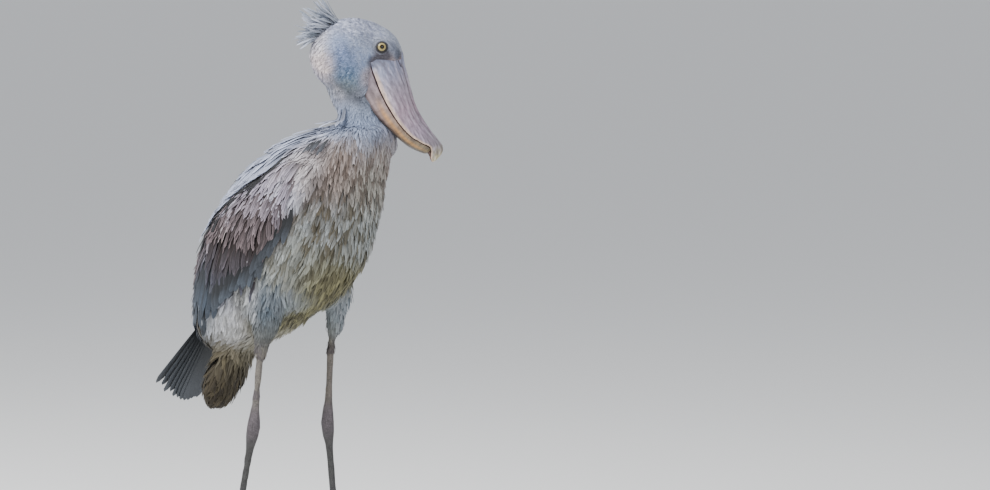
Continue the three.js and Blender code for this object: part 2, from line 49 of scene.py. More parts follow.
HEAD_AT = np.array([143.0, 8.0, 913.0])  # the origin of the head's own frame
HEAD_TURN = math.radians(35)  # to the bird's left
FLESH = ["head", "neck", "trunk", "undertail", "bill_upper", "bill_lower"]
for side_name in ("right", "left"):
    FLESH += [f"{part}_{side_name}" for part in ("wing", "thigh", "shank", "foot_bone", "eye")]
    FLESH += [f"toe_{toe}_{side_name}" for toe in ("middle", "inner", "outer", "hind")]
JOINING_VOXEL = 4 * MM  # the first surface, over the solids
SKIN_VOXEL = 5 * MM  # the second one, under the coat
WELD = 0.01 * MM
CLOSING = 0.45 * MM  # pushes the solids over the narrow gaps between them
TOE_END = 45 * MM  # how much of a toe is drawn out into its claw
TOE_REACH = 6.5 * MM
TOE_SWELL = 0.22


def turned(vectors, angle):
    """Vectors turned about the vertical."""
    x, y, z = vectors.T
    c, s = math.cos(angle), math.sin(angle)
    return np.stack([c * x - s * y, s * x + c * y, z], axis=1)


def in_head(points):
    """Millimetres in the head's own frame: forward, out to its left, up."""
    return turned(points - HEAD_AT, -HEAD_TURN)


def from_head(points):
    """Places in the head's frame as the bird's own millimetres."""
    return turned(points, HEAD_TURN) + HEAD_AT


def unit(vectors):
    """Vectors of length 1."""
    return vectors / np.maximum(np.linalg.norm(vectors, axis=-1, keepdims=True), 1e-12)


# How the feathers lie, on the bird's left side; the right side is its mirror image.
# place x, y, z; lie x, y, z; the coat's depth; a feather's length and width
BODY_COAT = [
    (188, 22, 806, 0.2, 0.0, -1.0, 6, 26, 4.3),
    (148, 42, 812, 0.0, 0.1, -1.0, 6, 24, 4.3),
    (90, 0, 850, -0.25, 0.0, -1.0, 8, 28, 5),
    (84, 0, 806, -0.75, 0.0, -0.65, 12, 44, 6.8),
    (62, 60, 786, -0.75, 0.25, -0.6, 13, 54, 7.4),
    (-30, 0, 730, -0.65, 0.0, -0.75, 14, 62, 8.1),
    (-40, 84, 704, -0.7, 0.1, -0.72, 14, 68, 8.1),
    (-130, 0, 570, -0.35, 0.0, -0.93, 14, 60, 8.7),
    (-165, 0, 470, -0.42, 0.0, -0.9, 14, 60, 8.7),
    (190, 20, 752, 0.0, 0.0, -1.0, 9, 40, 5.6),
    (164, 70, 728, -0.1, 0.1, -1.0, 10, 44, 6.2),
    (124, 92, 746, -0.35, 0.15, -0.93, 10, 36, 6.2),
    (176, 28, 684, -0.15, 0.0, -1.0, 12, 54, 6.8),
    (140, 82, 680, -0.2, 0.0, -1.0, 12, 52, 6.8),
    (150, 35, 588, -0.32, 0.0, -0.94, 14, 56, 7.4),
    (110, 86, 588, -0.32, 0.05, -0.94, 14, 56, 7.4),
    (45, 110, 532, -0.4, 0.0, -0.9, 14, 52, 7.4),
    (96, 56, 500, -0.5, 0.0, -0.86, 14, 52, 7.4),
    (20, 20, 424, -0.75, 0.0, -0.66, 14, 48, 7.4),
    (-60, 0, 384, -0.7, 0.0, -0.7, 14, 50, 7.4),
    (8, 98, 446, -0.15, 0.0, -1.0, 8, 34, 5.6),
    (0, 88, 404, -0.1, 0.0, -1.0, 4.5, 24, 4.3),
    (46, 76, 446, -0.1, 0.0, -1.0, 8, 34, 5.6),
    (34, 76, 404, -0.1, 0.0, -1.0, 4, 22, 4),
    (-124, 48, 352, -0.42, 0.05, -0.9, 16, 64, 8.1),
    (-152, 44, 304, -0.4, 0.05, -0.92, 13, 66, 8.1),
    (-112, 0, 330, -0.5, 0.0, -0.86, 16, 64, 8.1),
    (92, 113, 724, -0.45, 0.15, -0.9, 9, 28, 6.8),
    (36, 130, 680, -0.4, 0.0, -0.92, 12, 40, 7.4),
    (-16, 136, 632, -0.38, 0.0, -0.93, 12, 46, 8.1),
    (-65, 132, 566, -0.35, -0.02, -0.93, 12, 60, 8.7),
    (-98, 118, 498, -0.35, -0.1, -0.93, 11, 74, 8.7),
    (-160, 80, 430, -0.4, -0.1, -0.9, 8, 80, 8.7),
    (-30, 80, 345, 0.0, 0.0, -1.0, 0, 12, 3.1),
    (34, 76, 352, 0.0, 0.0, -1.0, 0, 12, 3.1),
    (-36, 78, 250, 0.0, 0.0, -1.0, 0, 8, 2.5),
    (30, 76, 250, 0.0, 0.0, -1.0, 0, 8, 2.5),
    (-50, 78, 150, 0.0, 0.0, -1.0, 0, 8, 2.5),
    (36, 76, 150, 0.0, 0.0, -1.0, 0, 8, 2.5),
    (-10, 90, 10, 0.0, 0.0, -1.0, 0, 8, 2.5),
    (110, 90, 10, 0.0, 0.0, -1.0, 0, 8, 2.5),
    (109, 113, 633, -0.3, 0.0, -0.95, 9, 46, 7),
    (72, 118, 582, -0.3, 0.0, -0.95, 9, 46, 7),
    (28, 122, 536, -0.3, 0.0, -0.95, 9, 46, 7),
    (-24, 118, 492, -0.3, 0.0, -0.95, 9, 46, 7),
    (-74, 100, 448, -0.35, 0.0, -0.93, 9, 46, 7),
    (-178, 30, 284, -0.4, 0.0, -0.92, 10, 38, 7),
    (-187, 16, 262, -0.4, 0.0, -0.92, 7, 22, 6),
]
# The same for the head, in its own frame
HEAD_COAT = [
    (62, 0, 50, -0.7, 0.0, 0.7, 0.8, 4.5, 2.4),
    (48, 30, 48, -0.8, 0.1, 0.4, 1.0, 4.5, 2.4),
    (20, 0, 76, -1.0, 0.0, 0.1, 2.4, 8, 3.2),
    (-40, 0, 80, -1.0, 0.0, -0.2, 3.5, 14, 4.4),
    (-86, 0, 40, -0.5, 0.0, -0.85, 6, 20, 5.5),
    (-80, 20, -28, -0.1, 0.0, -1.0, 6, 20, 5.5),
    (20, 44, 46, -1.0, 0.1, 0.0, 1.8, 6, 2.8),
    (-20, 50, 50, -1.0, 0.1, -0.1, 2.5, 8, 3.2),
    (-10, 54, 25, -1.0, 0.05, -0.2, 2.5, 7.5, 3.1),
    (-35, 54, 0, -0.9, 0.0, -0.4, 3, 9, 3.5),
    (-70, 40, 10, -0.7, 0.0, -0.7, 4.5, 14, 4.4),
    (-12, 52, -45, -0.6, 0.0, -0.8, 3, 10, 3.6),
    (52, 36, 14, -0.8, 0.1, -0.1, 0.6, 3.2, 2.0),
    (24, 48, 8, -0.9, 0.0, -0.3, 0.8, 3.6, 2.1),
    (20, 50, -30, -0.7, 0.0, -0.7, 1.2, 4.5, 2.4),
    (20, 0, -84, -0.6, 0.0, -0.75, 3.5, 12, 4.2),
    (10, 36, -74, -0.6, 0.0, -0.75, 2.5, 9, 3.5),
    (90, 20, -60, -0.6, 0.0, -0.7, 2.2, 4, 2.4),
    (140, 10, -160, -0.6, 0.0, -0.7, 2.2, 4, 2.4),
]


def both_sides(rows):
    """Rows for the left side, and their mirror images for the right one."""
    rows = np.array(rows, float)
    return np.concatenate([rows, rows * [1, -1, 1, 1, -1, 1, 1, 1, 1]])


head_coat = both_sides(HEAD_COAT)
head_rows = [from_head(head_coat[:, :3]), turned(head_coat[:, 3:6], HEAD_TURN), head_coat[:, 6:]]
COAT = np.concatenate([both_sides(BODY_COAT), np.hstack(head_rows)])


def coat_at(points):
    """The lie, depth, length and width of the coat at points in millimetres, between the tables' rows."""
    near = ((points[:, None, :] - COAT[None, :, :3]) ** 2).sum(2)
    weights = 1 / (near + 40.0) ** 2.5
    weights /= weights.sum(1, keepdims=True)
    values = weights @ COAT[:, 3:]
    return unit(values[:, :3]), values[:, 3], values[:, 4], values[:, 5]


def numbers(mesh, attribute="co", source=None):
    """The places or normals of a mesh's vertices, or the vectors of another source, as an array."""
    items = mesh.vertices if source is None else source
    values = np.zeros(len(items) * 3, np.float32)
    items.foreach_get(attribute, values)
    return values.reshape(-1, 3).astype(float)


def edge_ends(mesh):
    """The numbers of the two vertices at the ends of each edge."""
    ends = np.zeros(len(mesh.edges) * 2, np.int64)
    mesh.edges.foreach_get("vertices", ends)
    return ends.reshape(-1, 2)


def eased(values, edges, times):
    """Values smoothed over a mesh's edges, half of the way to their neighbours' mean each time."""
    count = np.zeros(len(values))
    np.add.at(count, edges.ravel(), 1)
    for _ in range(times):
        total = np.zeros_like(values)
        np.add.at(total, edges[:, 0], values[edges[:, 1]])
        np.add.at(total, edges[:, 1], values[edges[:, 0]])
        mean = total / count.reshape((-1,) + (1,) * (values.ndim - 1))
        values = values + (mean - values) * 0.5
    return values


def place_vertices(mesh, points):
    """Moves a mesh's vertices to points in metres."""
    mesh.vertices.foreach_set("co", points.astype(np.float32).ravel())
    mesh.update()


def new_piece(name, mesh):
    """An object at the origin with a mesh of its own."""
    piece = bpy.data.objects.new(name, mesh)
    bpy.context.scene.collection.objects.link(piece)
    return piece


def remeshed(mesh, voxel):
    """One closed even surface round everything in a mesh."""
    holder = new_piece("holder", mesh)
    modifier = holder.modifiers.new("even", "REMESH")
    modifier.mode = "VOXEL"
    modifier.voxel_size = voxel
    done = bpy.data.meshes.new_from_object(holder.evaluated_get(bpy.context.evaluated_depsgraph_get()))
    bpy.data.objects.remove(holder)
    return done


def into_claw(toe, claw):
    """A toe's end, thicker and pushed into its claw, since the even surface falls short of thin tips."""
    middle = Vector(numbers(claw).mean(0))
    away = [(vertex.co - middle).length for vertex in toe]
    nearest_end = min(away)
    end = [vertex.co for vertex, reach in zip(toe, away) if reach < nearest_end + 6 * MM]
    centre = sum(end, Vector()) / len(end)
    way = (middle - centre).normalized()
    for vertex, reach in zip(toe, away):
        share = max(0.0, 1 - (reach - nearest_end) / TOE_END)
        along = (vertex.co - centre).dot(way)
        spoke = vertex.co - centre - way * along
        if spoke.length < 14 * MM:
            vertex.co += spoke * TOE_SWELL * share
        vertex.co += way * TOE_REACH * share


def flesh_mesh():
    """All the solids of flesh in one mesh, closed up over the gaps between them."""
    body = bmesh.new()
    for name in FLESH:
        known = len(body.verts)
        body.from_mesh(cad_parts[name].data)
        body.verts.ensure_lookup_table()
        if name.startswith("toe_"):
            into_claw(body.verts[known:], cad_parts[name.replace("toe", "claw")].data)
    bmesh.ops.remove_doubles(body, verts=body.verts, dist=WELD)
    body.normal_update()
    for vertex in body.verts:
        vertex.co += vertex.normal * CLOSING
    mesh = bpy.data.meshes.new("flesh")
    body.to_mesh(mesh)
    body.free()
    return mesh


skin_mesh = remeshed(flesh_mesh(), JOINING_VOXEL)
points = numbers(skin_mesh)
edges = edge_ends(skin_mesh)
normals = eased(numbers(skin_mesh, "normal"), edges, 6)
depth = eased(coat_at(points / MM)[1], edges, 4)
place_vertices(skin_mesh, points - unit(normals) * (depth[:, None] * MM + CLOSING))
skin_mesh = remeshed(skin_mesh, SKIN_VOXEL)
points = numbers(skin_mesh)
edges = edge_ends(skin_mesh)
covered = np.clip(coat_at(points / MM)[1] / 6, 0, 1)[:, None]
# Bare skin keeps its form, and skin under a deep coat is smoothed in full.
place_vertices(skin_mesh, points + (eased(points, edges, 8) - points) * (0.15 + 0.85 * covered))

skin = new_piece("skin", skin_mesh)
bpy.context.view_layer.objects.active = skin
skin.select_set(True)
skin_mesh.uv_layers.new(name="OFBake")
bpy.ops.object.mode_set(mode="EDIT")
bpy.ops.mesh.select_all(action="SELECT")
bpy.ops.uv.smart_project(angle_limit=math.radians(66), island_margin=0.002)
bpy.ops.object.mode_set(mode="OBJECT")

BILL_AT = np.array([48.6, 0.0, 7.5])  # where the bill's axis starts, in the head's frame
BILL_TURN = math.radians(63)  # how far that axis points down
# Where the horn starts, as height above the bill's axis and distance along it
HORN_START = np.array(
    [(-80, 78), (-62, 58), (-54, 20), (-33, -7), (-19, -8), (6, 4), (23, 19), (40, 24)], float
)


def in_bill(places):
    """Places in the head's frame as the bill's own: along it, out to its left, up from it."""
    off = places - BILL_AT
    along = off[:, 0] * math.cos(BILL_TURN) - off[:, 2] * math.sin(BILL_TURN)
    above = off[:, 0] * math.sin(BILL_TURN) + off[:, 2] * math.cos(BILL_TURN)
    return np.stack([along, off[:, 1], above], axis=1)


def past_horn_start(places):
    """How far places in the head's frame lie beyond the line where the horn starts."""
    spots = in_bill(places)
    return spots[:, 0] - np.interp(spots[:, 2], HORN_START[:, 0], HORN_START[:, 1])


EYE_AT = np.array([38.0, 34.0, 26.0])
EYE_AXIS = unit(np.array([0.12, 0.98, 0.1]))
EYE_RADIUS = 12.5


def eye_frames():
    """Each eye's middle and outward axis, in the head's frame."""
    return [(EYE_AT * [1, side, 1], EYE_AXIS * [1, side, 1]) for side in (-1, 1)]


def refined(mesh, chosen):
    """The mesh with the edges between chosen vertices cut in two."""
    body = bmesh.new()
    body.from_mesh(mesh)
    body.verts.ensure_lookup_table()
    cut_edges = [edge for edge in body.edges if all(chosen[end.index] for end in edge.verts)]
    bmesh.ops.subdivide_edges(body, edges=cut_edges, cuts=1, use_grid_fill=True, smooth=0.6)
    body.to_mesh(mesh)
    body.free()


def eye_reach(points):
    """The distance in millimetres from the nearer eye's middle."""
    places = in_head(points / MM)
    return np.min([np.linalg.norm(places - at, axis=1) for at, _ in eye_frames()], axis=0)


# The head and the legs get finer faces, and the lids the finest.
LEG_TOP = 0.385
LEG_BACK = -0.078  # the undertail lies behind this
CHIN = 0.80
HEAD_REACH = 112
LID_REACHES = (24, 20)
points = numbers(skin_mesh)
on_legs = (points[:, 2] < LEG_TOP) & (points[:, 0] > LEG_BACK)
on_face = (np.linalg.norm(in_head(points / MM), axis=1) < HEAD_REACH) & (points[:, 2] > CHIN)
refined(skin_mesh, on_legs | on_face)
for reach in LID_REACHES:
    refined(skin_mesh, eye_reach(numbers(skin_mesh)) < reach)
points = numbers(skin_mesh)

LID_EDGE = 8.2  # the opening's half-width
LID_RIM = 10.6  # where a lid starts to blend into the face
LID_LIFT = 1.0  # how far a lid's edge stands off the eyeball
# The brow's ridge, the fold under the cheek and the corner of the mouth, as forward and up from the head
BROW = np.array([[-20.0, 60.0], [2.0, 49.0], [24.0, 42.0], [44.0, 38.0], [58.0, 24.0]])
FOLD = np.array([[-34.0, -50.0], [-12.0, -61.0], [4.0, -73.0], [14.0, -84.0]])
GAPE = np.array([16.5, -2.0])


def line_reach(places, line):
    """The distance of places (forward, up) from a line through a few points, and which side they're on."""
    best = np.full(len(places), 1e9)
    side = np.zeros(len(places))
    for a, b in zip(line[:-1], line[1:]):
        along = np.clip(((places - a) @ (b - a)) / ((b - a) @ (b - a)), 0, 1)
        off = places - (a + along[:, None] * (b - a))
        far = np.linalg.norm(off, axis=1)
        turn = (b - a)[0] * off[:, 1] - (b - a)[1] * off[:, 0]
        side = np.where(far < best, np.sign(turn), side)
        best = np.minimum(best, far)
    return best, side


def shape_face(points, normals):
    """The skin's points moved into brows, cheek folds, gape and lids; all in millimetres."""
    places = in_head(points)
    profile = places[:, [0, 2]]
    lateral = np.clip((np.abs(places[:, 1]) - 20) / 20, 0, 1)
    near_head = np.clip((118 - np.linalg.norm(places, axis=1)) / 12, 0, 1)
    brow, over = line_reach(profile, BROW)
    lift = 2.6 * np.exp(-((brow - 1.5) ** 2) / 18) * np.where(over > 0, 1, 0.3)
    lift -= 1.8 * np.exp(-((brow - 5) ** 2) / 14) * (over < 0)
    fold, below = line_reach(profile, FOLD)
    lift += (2.6 * np.exp(-((fold - 5) ** 2) / 20) * (below > 0) - 2.4 * np.exp(-(fold**2) / 7)) * (fold < 16)
    gape = np.linalg.norm(profile - GAPE, axis=1)
    lift -= 3.0 * np.exp(-(gape**2) / 12)
    places = in_head(points + normals * (lift * lateral * near_head)[:, None])
    # Under the horn the skin shrinks towards the bill's core.
    spots = in_bill(places)
    thick = np.linalg.norm(spots[:, 1:] - [0, -15], axis=1)
    sunk = 0.26 * np.clip((past_horn_start(places) + 1) / 5, 0, 1) * np.clip((68 - thick) / 8, 0, 1)
    sunk = sunk * (spots[:, 0] < 230)
    core = BILL_AT + spots[:, :1] * [math.cos(BILL_TURN), 0, -math.sin(BILL_TURN)] + [-13, 0, -7]
    places = places + (core - places) * sunk[:, None]
    # The lids follow the eyeball, with fine creases, and inside their edge the skin sinks under it.
    for at, axis in eye_frames():
        off = places - at
        out = off @ axis
        across = np.linalg.norm(off - out[:, None] * axis, axis=1)
        ball = np.sqrt(np.maximum(EYE_RADIUS**2 - across**2, 0))
        crease = 0.28 * np.cos(2 * math.pi * (across - LID_EDGE) / 1.9) * np.exp(-((across - 10.4) ** 2) / 5)
        lid = np.sqrt(np.maximum((EYE_RADIUS + LID_LIFT) ** 2 - across**2, 0)) + crease
        inside = np.clip((across - LID_EDGE + 0.7) / 0.7, 0, 1)
        target = (ball - 2.0) * (1 - inside) + lid * inside
        share = np.clip((LID_RIM + 4 - across) / 5.5, 0, 1)
        share = share * share * (3 - 2 * share) * (out > 0)
        places = places + ((target - out) * share)[:, None] * axis
    return from_head(places)


SOLE = 1.2  # skin lower than this lies flat on the floor
points = shape_face(points / MM, numbers(skin_mesh, "normal"))
points[points[:, 2] < SOLE, 2] = 0
place_vertices(skin_mesh, points * MM)
skin_mesh.shade_smooth()
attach(skin, "root")
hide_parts(*FLESH)

# Colours of skin and plumage
# One set of marks tints the skin and every feather alike: blue-grey neck, brown breast, lilac wings,
# pale vent, dark tail. Each mark has a main colour and a second one that mottles it.
def linear(code):
    """An sRGB hex colour as linear light."""
    srgb = np.array([int(code[i : i + 2], 16) for i in (0, 2, 4)]) / 255
    return np.where(srgb <= 0.04045, srgb / 12.92, ((srgb + 0.055) / 1.055) ** 2.4)


# place x, y, z on the bird's left; reach; main colour; second colour
BODY_MARKS = [
    (188, 22, 800, 28, "7f8fac", "6a7890"),
    (150, 42, 808, 26, "8794ad", "6f7a92"),
    (176, 44, 776, 18, "8391ab", "6f7b93"),
    (90, 0, 850, 26, "a5a9b6", "878c9a"),
    (179, 62, 748, 20, "a0a1ae", "96897f"),
    (163, 72, 722, 24, "9a8c84", "5f514a"),
    (190, 10, 735, 24, "9c9793", "6c625c"),
    (146, 80, 678, 28, "7a6d67", "403731"),
    (182, 19, 677, 28, "a09e96", "645c55"),
    (124, 80, 600, 30, "8b8f91", "504a3e"),
    (157, 31, 590, 30, "949999", "59564b"),
    (79, 97, 539, 30, "81847f", "514d40"),
    (96, 56, 500, 28, "75704f", "4b4733"),
    (45, 110, 530, 24, "8f9392", "686860"),
    (20, 20, 424, 30, "74704f", "4f4b38"),
    (8, 98, 444, 22, "434f5b", "5a6168"),
    (0, 88, 404, 18, "5a5d5d", "4a4c4c"),
    (-26, 104, 470, 9, "dcdee2", "b3b6bc"),
    (-32, 98, 436, 8, "e4e6ea", "b7babf"),
    (-52, 112, 484, 18, "8e8f8d", "6d6d69"),
    (46, 76, 440, 22, "76818c", "8b9198"),
    (-125, 80, 402, 24, "c6c6ca", "999998"),
    (-127, 47, 351, 24, "544d3a", "746d5b"),
    (-152, 44, 302, 30, "3f3829", "2c261e"),
    (-60, 0, 384, 30, "8a887c", "6c685b"),
    (80, 0, 800, 28, "b6bccd", "868ca0"),
    (63, 60, 785, 28, "b0b5c6", "7f8598"),
    (-10, 40, 740, 34, "9fa7bb", "767d92"),
    (-51, 87, 701, 24, "8f9aab", "6f7789"),
    (-97, 70, 668, 24, "8c8e98", "686a76"),
    (-137, 70, 605, 26, "6f6164", "52494c"),
    (-160, 0, 500, 40, "625659", "4b4346"),
    (92, 113, 724, 24, "b2adaf", "938a89"),
    (36, 130, 680, 26, "adacb9", "8c8690"),
    (-16, 136, 632, 26, "9d959e", "837a82"),
    (20, 134, 590, 22, "7f7b83", "665d62"),
    (-65, 132, 570, 16, "a69fa1", "80716f"),
    (-80, 127, 541, 16, "6d6162", "544b4e"),
    (-98, 118, 497, 24, "80838f", "696a76"),
    (-164, 81, 427, 26, "667384", "4b535f"),
    (-30, 80, 330, 30, "716c64", "554f51"),
    (34, 76, 330, 30, "6b645c", "504a4b"),
    (-36, 78, 232, 18, "5c5459", "4a4448"),
    (28, 76, 232, 18, "5e565b", "4c464a"),
    (-50, 78, 140, 50, "3e3e3c", "302f30"),
    (36, 76, 140, 50, "3f3f3d", "313031"),
    (0, 90, 8, 60, "525157", "424046"),
    (110, 90, 8, 60, "525157", "424046"),
]
# The same in the head's frame
HEAD_MARKS = [
    (-28, 20, 76, 24, "b7bccf", "868ba0"),
    (20, 10, 74, 22, "a7acbf", "7f859b"),
    (54, 10, 52, 16, "a9afbd", "979dae"),
    (-34, 54, 9, 17, "47597a", "7080a2"),
    (-28, 52, -28, 17, "405872", "687b94"),
    (-47, 48, 37, 14, "687a9a", "8c99b6"),
    (-6, 54, 33, 12, "98a1b5", "8590a7"),
    (-2, 54, 6, 11, "8d98b0", "6f7d99"),
    (-26, 46, -50, 12, "5f6a70", "7d8680"),
    (-71, 34, -4, 15, "cfc0bc", "b3a5a4"),
    (-76, 24, 34, 15, "c0bfc6", "a9a7b2"),
    (-84, 14, -28, 14, "aaa8b6", "8f8e9e"),
    (-50, 38, -62, 14, "9c9088", "7f7672"),
    (-11, 40, -68, 12, "85838a", "6e6d73"),
    # Dark marks along the fold under the cheek: painted shade in the crease.
    (-30, 40, -52, 7, "343a42", "2c3138"),
    (-22, 34, -62, 6, "343a42", "2c3138"),
    (-15, 38, -61, 7, "32363d", "2a2d33"),
    (-8, 32, -72, 6, "32363d", "2a2d33"),
    (0, 36, -71, 7, "34373e", "2b2d33"),
    (8, 30, -80, 6, "34373e", "2b2d33"),
    (12, 40, -84, 6, "565a66", "4a4d57"),
    (4, 30, -90, 16, "868e9b", "737b88"),
    (16, 49, -30, 10, "a59da6", "8b838d"),
    (22, 48, 0, 5, "4d474d", "3b363b"),
    # Under the eye, painted shade; on the lids, their own dark skin with painted shade from the brow over it.
    (40, 44, 9, 6, "4f4c54", "434048"),
    (40, 46, 26, 7.5, "46434a", "333036"),
    (8, 50, 42, 9, "8e95a6", "7a8193"),
    (43, 30, 54, 12, "a3a9b9", "8389a0"),
    # A line of painted shade under the brow, from the eye's front towards the bill.
    (58, 36, 29, 4.5, "767c8d", "646a7b"),
    (68, 27, 15, 4.5, "767c8d", "646a7b"),
    (150, 0, -150, 60, "8a6f66", "7a6058"),
]


def mark_table(rows):
    """Marks with their colours as linear light."""
    return np.array([[*row[:4], *linear(row[4]), *linear(row[5])] for row in rows])


body_marks = mark_table(BODY_MARKS)
head_marks = mark_table(HEAD_MARKS)


def onto_left(points):
    """Points with those of the right side mirrored onto the left one."""
    return np.abs(points) * [0, 1, 0] + points * [1, 0, 1]


def colours_at(points):
    """The main and second colour at points in millimetres."""
    weights = []
    for spots, marks in ((onto_left(points), body_marks), (onto_left(in_head(points)), head_marks)):
        near = ((spots[:, None, :] - marks[None, :, :3]) ** 2).sum(2) / marks[None, :, 3] ** 2
        weights.append(np.exp(-near / 2) + 1e-4 / (near + 1) ** 2)
    weights = np.concatenate(weights, axis=1)
    weights /= weights.sum(1, keepdims=True)
    colours = weights @ np.concatenate([body_marks, head_marks])[:, 4:]
    return colours[:, :3], colours[:, 3:]


dice = np.random.default_rng(7)
RIPPLES = 9
RIPPLE_WAYS = unit(dice.normal(size=(RIPPLES, 3)))
RIPPLE_PHASES = dice.uniform(0, 2 * math.pi, RIPPLES)


def ripple(points, size):
    """A soft random pattern from -1 to 1 whose patches are about `size` across."""
    pitch = 2 * math.pi / size * np.linspace(0.7, 1.6, RIPPLES)
    waves = np.sin(points @ RIPPLE_WAYS.T * pitch + RIPPLE_PHASES)
    return np.clip(waves.sum(1) / 4, -1, 1)


def set_tint(mesh, colours):
    """Stores a colour for each vertex as the attribute that the materials read."""
    layer = mesh.color_attributes.new(name="tint", type="FLOAT_COLOR", domain="POINT")
    values = np.hstack([colours, np.ones((len(colours), 1))])
    layer.data.foreach_set("color", values.astype(np.float32).ravel())


# The skin's tint: mottled, with painted shade under the coat, and round each eye a dark rim, partly the lids'
# own dark skin and partly painted shade under the brow, and a pale ring
points = numbers(skin_mesh) / MM
main, second = colours_at(points)
share = 0.5 + 0.5 * ripple(points, 9)[:, None]
# Skin under the coat is darkened with painted shade.
coat_shade = np.clip(coat_at(points)[1] / 4, 0, 1)[:, None]
colours = (main * (1 - 0.5 * share) + second * 0.5 * share) * (1 - 0.6 * coat_shade)
places = in_head(points)
for at, axis in eye_frames():
    off = places - at
    out = off @ axis
    ring = np.linalg.norm(off - out[:, None] * axis, axis=1)
    # The dark rim round the opening is partly the lids' own dark skin and partly painted shade under the
    # brow.
    lid = (0.92 * np.exp(-(((ring - 9.2) / 2.6) ** 2)) * (out > 0))[:, None]
    pale = (0.4 * np.exp(-(((ring - 13.4) / 0.9) ** 2)) * (out > 0))[:, None]
    colours = colours * (1 - lid) + linear("1f1c1e") * lid
    colours = colours * (1 - pale) + linear("8d93a3") * pale
set_tint(skin_mesh, colours)


def add_node(tree, kind, settings=(), links=()):
    """Adds a node with its settings, each an attribute's or an input's value, and links into its inputs."""
    node = tree.nodes.new(kind)
    for name, value in dict(settings).items():
        if isinstance(name, str) and hasattr(node, name):
            setattr(node, name, value)
        else:
            node.inputs[name].default_value = value
    for name, output in dict(links).items():
        tree.links.new(output, node.inputs[name])
    return node


def new_material(name):
    """A material with only its output, and its node tree."""
    made = bpy.data.materials.new(name)
    made.use_nodes = True
    made.node_tree.nodes.clear()
    return made, made.node_tree


def finish_material(tree, shader):
    """Links a shader to the material's output."""
    add_node(tree, "ShaderNodeOutputMaterial", links={"Surface": shader.outputs[0]})


def scaled_tint(tree, shade):
    """The vertices' colour, lighter or darker by a shade."""
    tint = add_node(tree, "ShaderNodeAttribute", {"attribute_name": "tint"})
    return add_node(
        tree,
        "ShaderNodeVectorMath",
        {"operation": "SCALE"},
        {0: tint.outputs["Color"], "Scale": shade.outputs[0]},
    )


# Bare skin: dry and scaly, with rounded plates about 3 mm across that darken towards their seams
def scaly_skin():
    made, tree = new_material("scaly_skin")
    place = add_node(tree, "ShaderNodeTexCoord")
    plates = add_node(
        tree,
        "ShaderNodeTexVoronoi",
        {"feature": "DISTANCE_TO_EDGE", "Scale": 1 / (3.4 * MM)},
        {"Vector": place.outputs["Object"]},
    )
    seams = add_node(
        tree,
        "ShaderNodeMapRange",
        {"From Max": 0.14, "To Min": 0.35, "To Max": 1.05},
        {"Value": plates.outputs["Distance"]},
    )
    blotches = add_node(
        tree,
        "ShaderNodeTexNoise",
        {"Scale": 1 / (14 * MM), "Detail": 4, "Roughness": 0.6},
        {"Vector": place.outputs["Object"]},
    )
    shade = add_node(
        tree,
        "ShaderNodeMapRange",
        {"From Min": 0.3, "From Max": 0.7, "To Min": 0.8, "To Max": 1.15},
        {"Value": blotches.outputs[0]},
    )
    both = add_node(
        tree,
        "ShaderNodeMath",
        {"operation": "MULTIPLY"},
        {0: seams.outputs[0], 1: shade.outputs[0]},
    )
    colour = scaled_tint(tree, both)
    bump = add_node(
        tree,
        "ShaderNodeBump",
        {"Strength": 0.5, "Distance": 0.5 * MM},
        {"Height": seams.outputs[0]},
    )
    shader = add_node(
        tree,
        "ShaderNodeBsdfPrincipled",
        {"Roughness": 0.6, "Specular IOR Level": 0.35},
        {"Base Color": colour.outputs[0], "Normal": bump.outputs[0]},
    )
    finish_material(tree, shader)
    return made


skin_mesh.materials.clear()
skin_mesh.materials.append(scaly_skin())

# How feathers are made
# Every feather is a thin closed vane with a raised shaft. It starts under the skin, follows the lie of the
# coat over the body and rises to the coat's outer layer, so that its tip covers the roots beyond it.
skin_points = numbers(skin_mesh) / MM
skin_tree = BVHTree.FromPolygons(
    [tuple(point) for point in skin_points],
    [tuple(face.vertices) for face in skin_mesh.polygons],
)
face_count = len(skin_mesh.polygons)
face_at = numbers(skin_mesh, "center", skin_mesh.polygons) / MM
face_area = np.zeros(face_count, np.float32)
skin_mesh.polygons.foreach_get("area", face_area)
face_area = face_area / MM**2
corner_face = np.repeat(np.arange(face_count), [face.loop_total for face in skin_mesh.polygons])
corner_point = np.zeros(len(skin_mesh.loops), np.int64)
skin_mesh.loops.foreach_get("vertex_index", corner_point)
corner_uv = np.zeros(len(skin_mesh.loops) * 2, np.float32)
skin_mesh.uv_layers["OFBake"].uv.foreach_get("vector", corner_uv)
corner_total = np.bincount(corner_face)[:, None]


def face_mean(values):
    """The mean over each face's corners."""
    total = np.zeros((face_count, values.shape[1]))
    np.add.at(total, corner_face, values)
    return total / corner_total


face_uv = face_mean(corner_uv.reshape(-1, 2))
face_normal = unit(face_mean(numbers(skin_mesh, "normal")[corner_point]))

# Each face of the skin belongs to the solid that it lies nearest to.
solid_parts = []
solid_points = []
solid_faces = []
for number, name in enumerate(FLESH):
    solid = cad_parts[name].data
    solid_faces += [tuple(len(solid_points) + v for v in face.vertices) for face in solid.polygons]
    solid_points += [tuple(point) for point in numbers(solid) / MM]
    solid_parts += [number] * len(solid.polygons)
solid_tree = BVHTree.FromPolygons(solid_points, solid_faces)
face_part = np.array([solid_parts[solid_tree.find_nearest(spot)[2]] for spot in face_at])


def on_parts(*names):
    """Which of the skin's faces lie in the named solids."""
    return np.isin(face_part, [FLESH.index(name) for name in names])


def nearest(points):
    """The skin's nearest places to points, its normals there and its faces' numbers."""
    found = [skin_tree.find_nearest(point) for point in points]
    faces = np.array([hit[2] for hit in found])
    return np.array([tuple(hit[0]) for hit in found]), face_normal[faces], faces


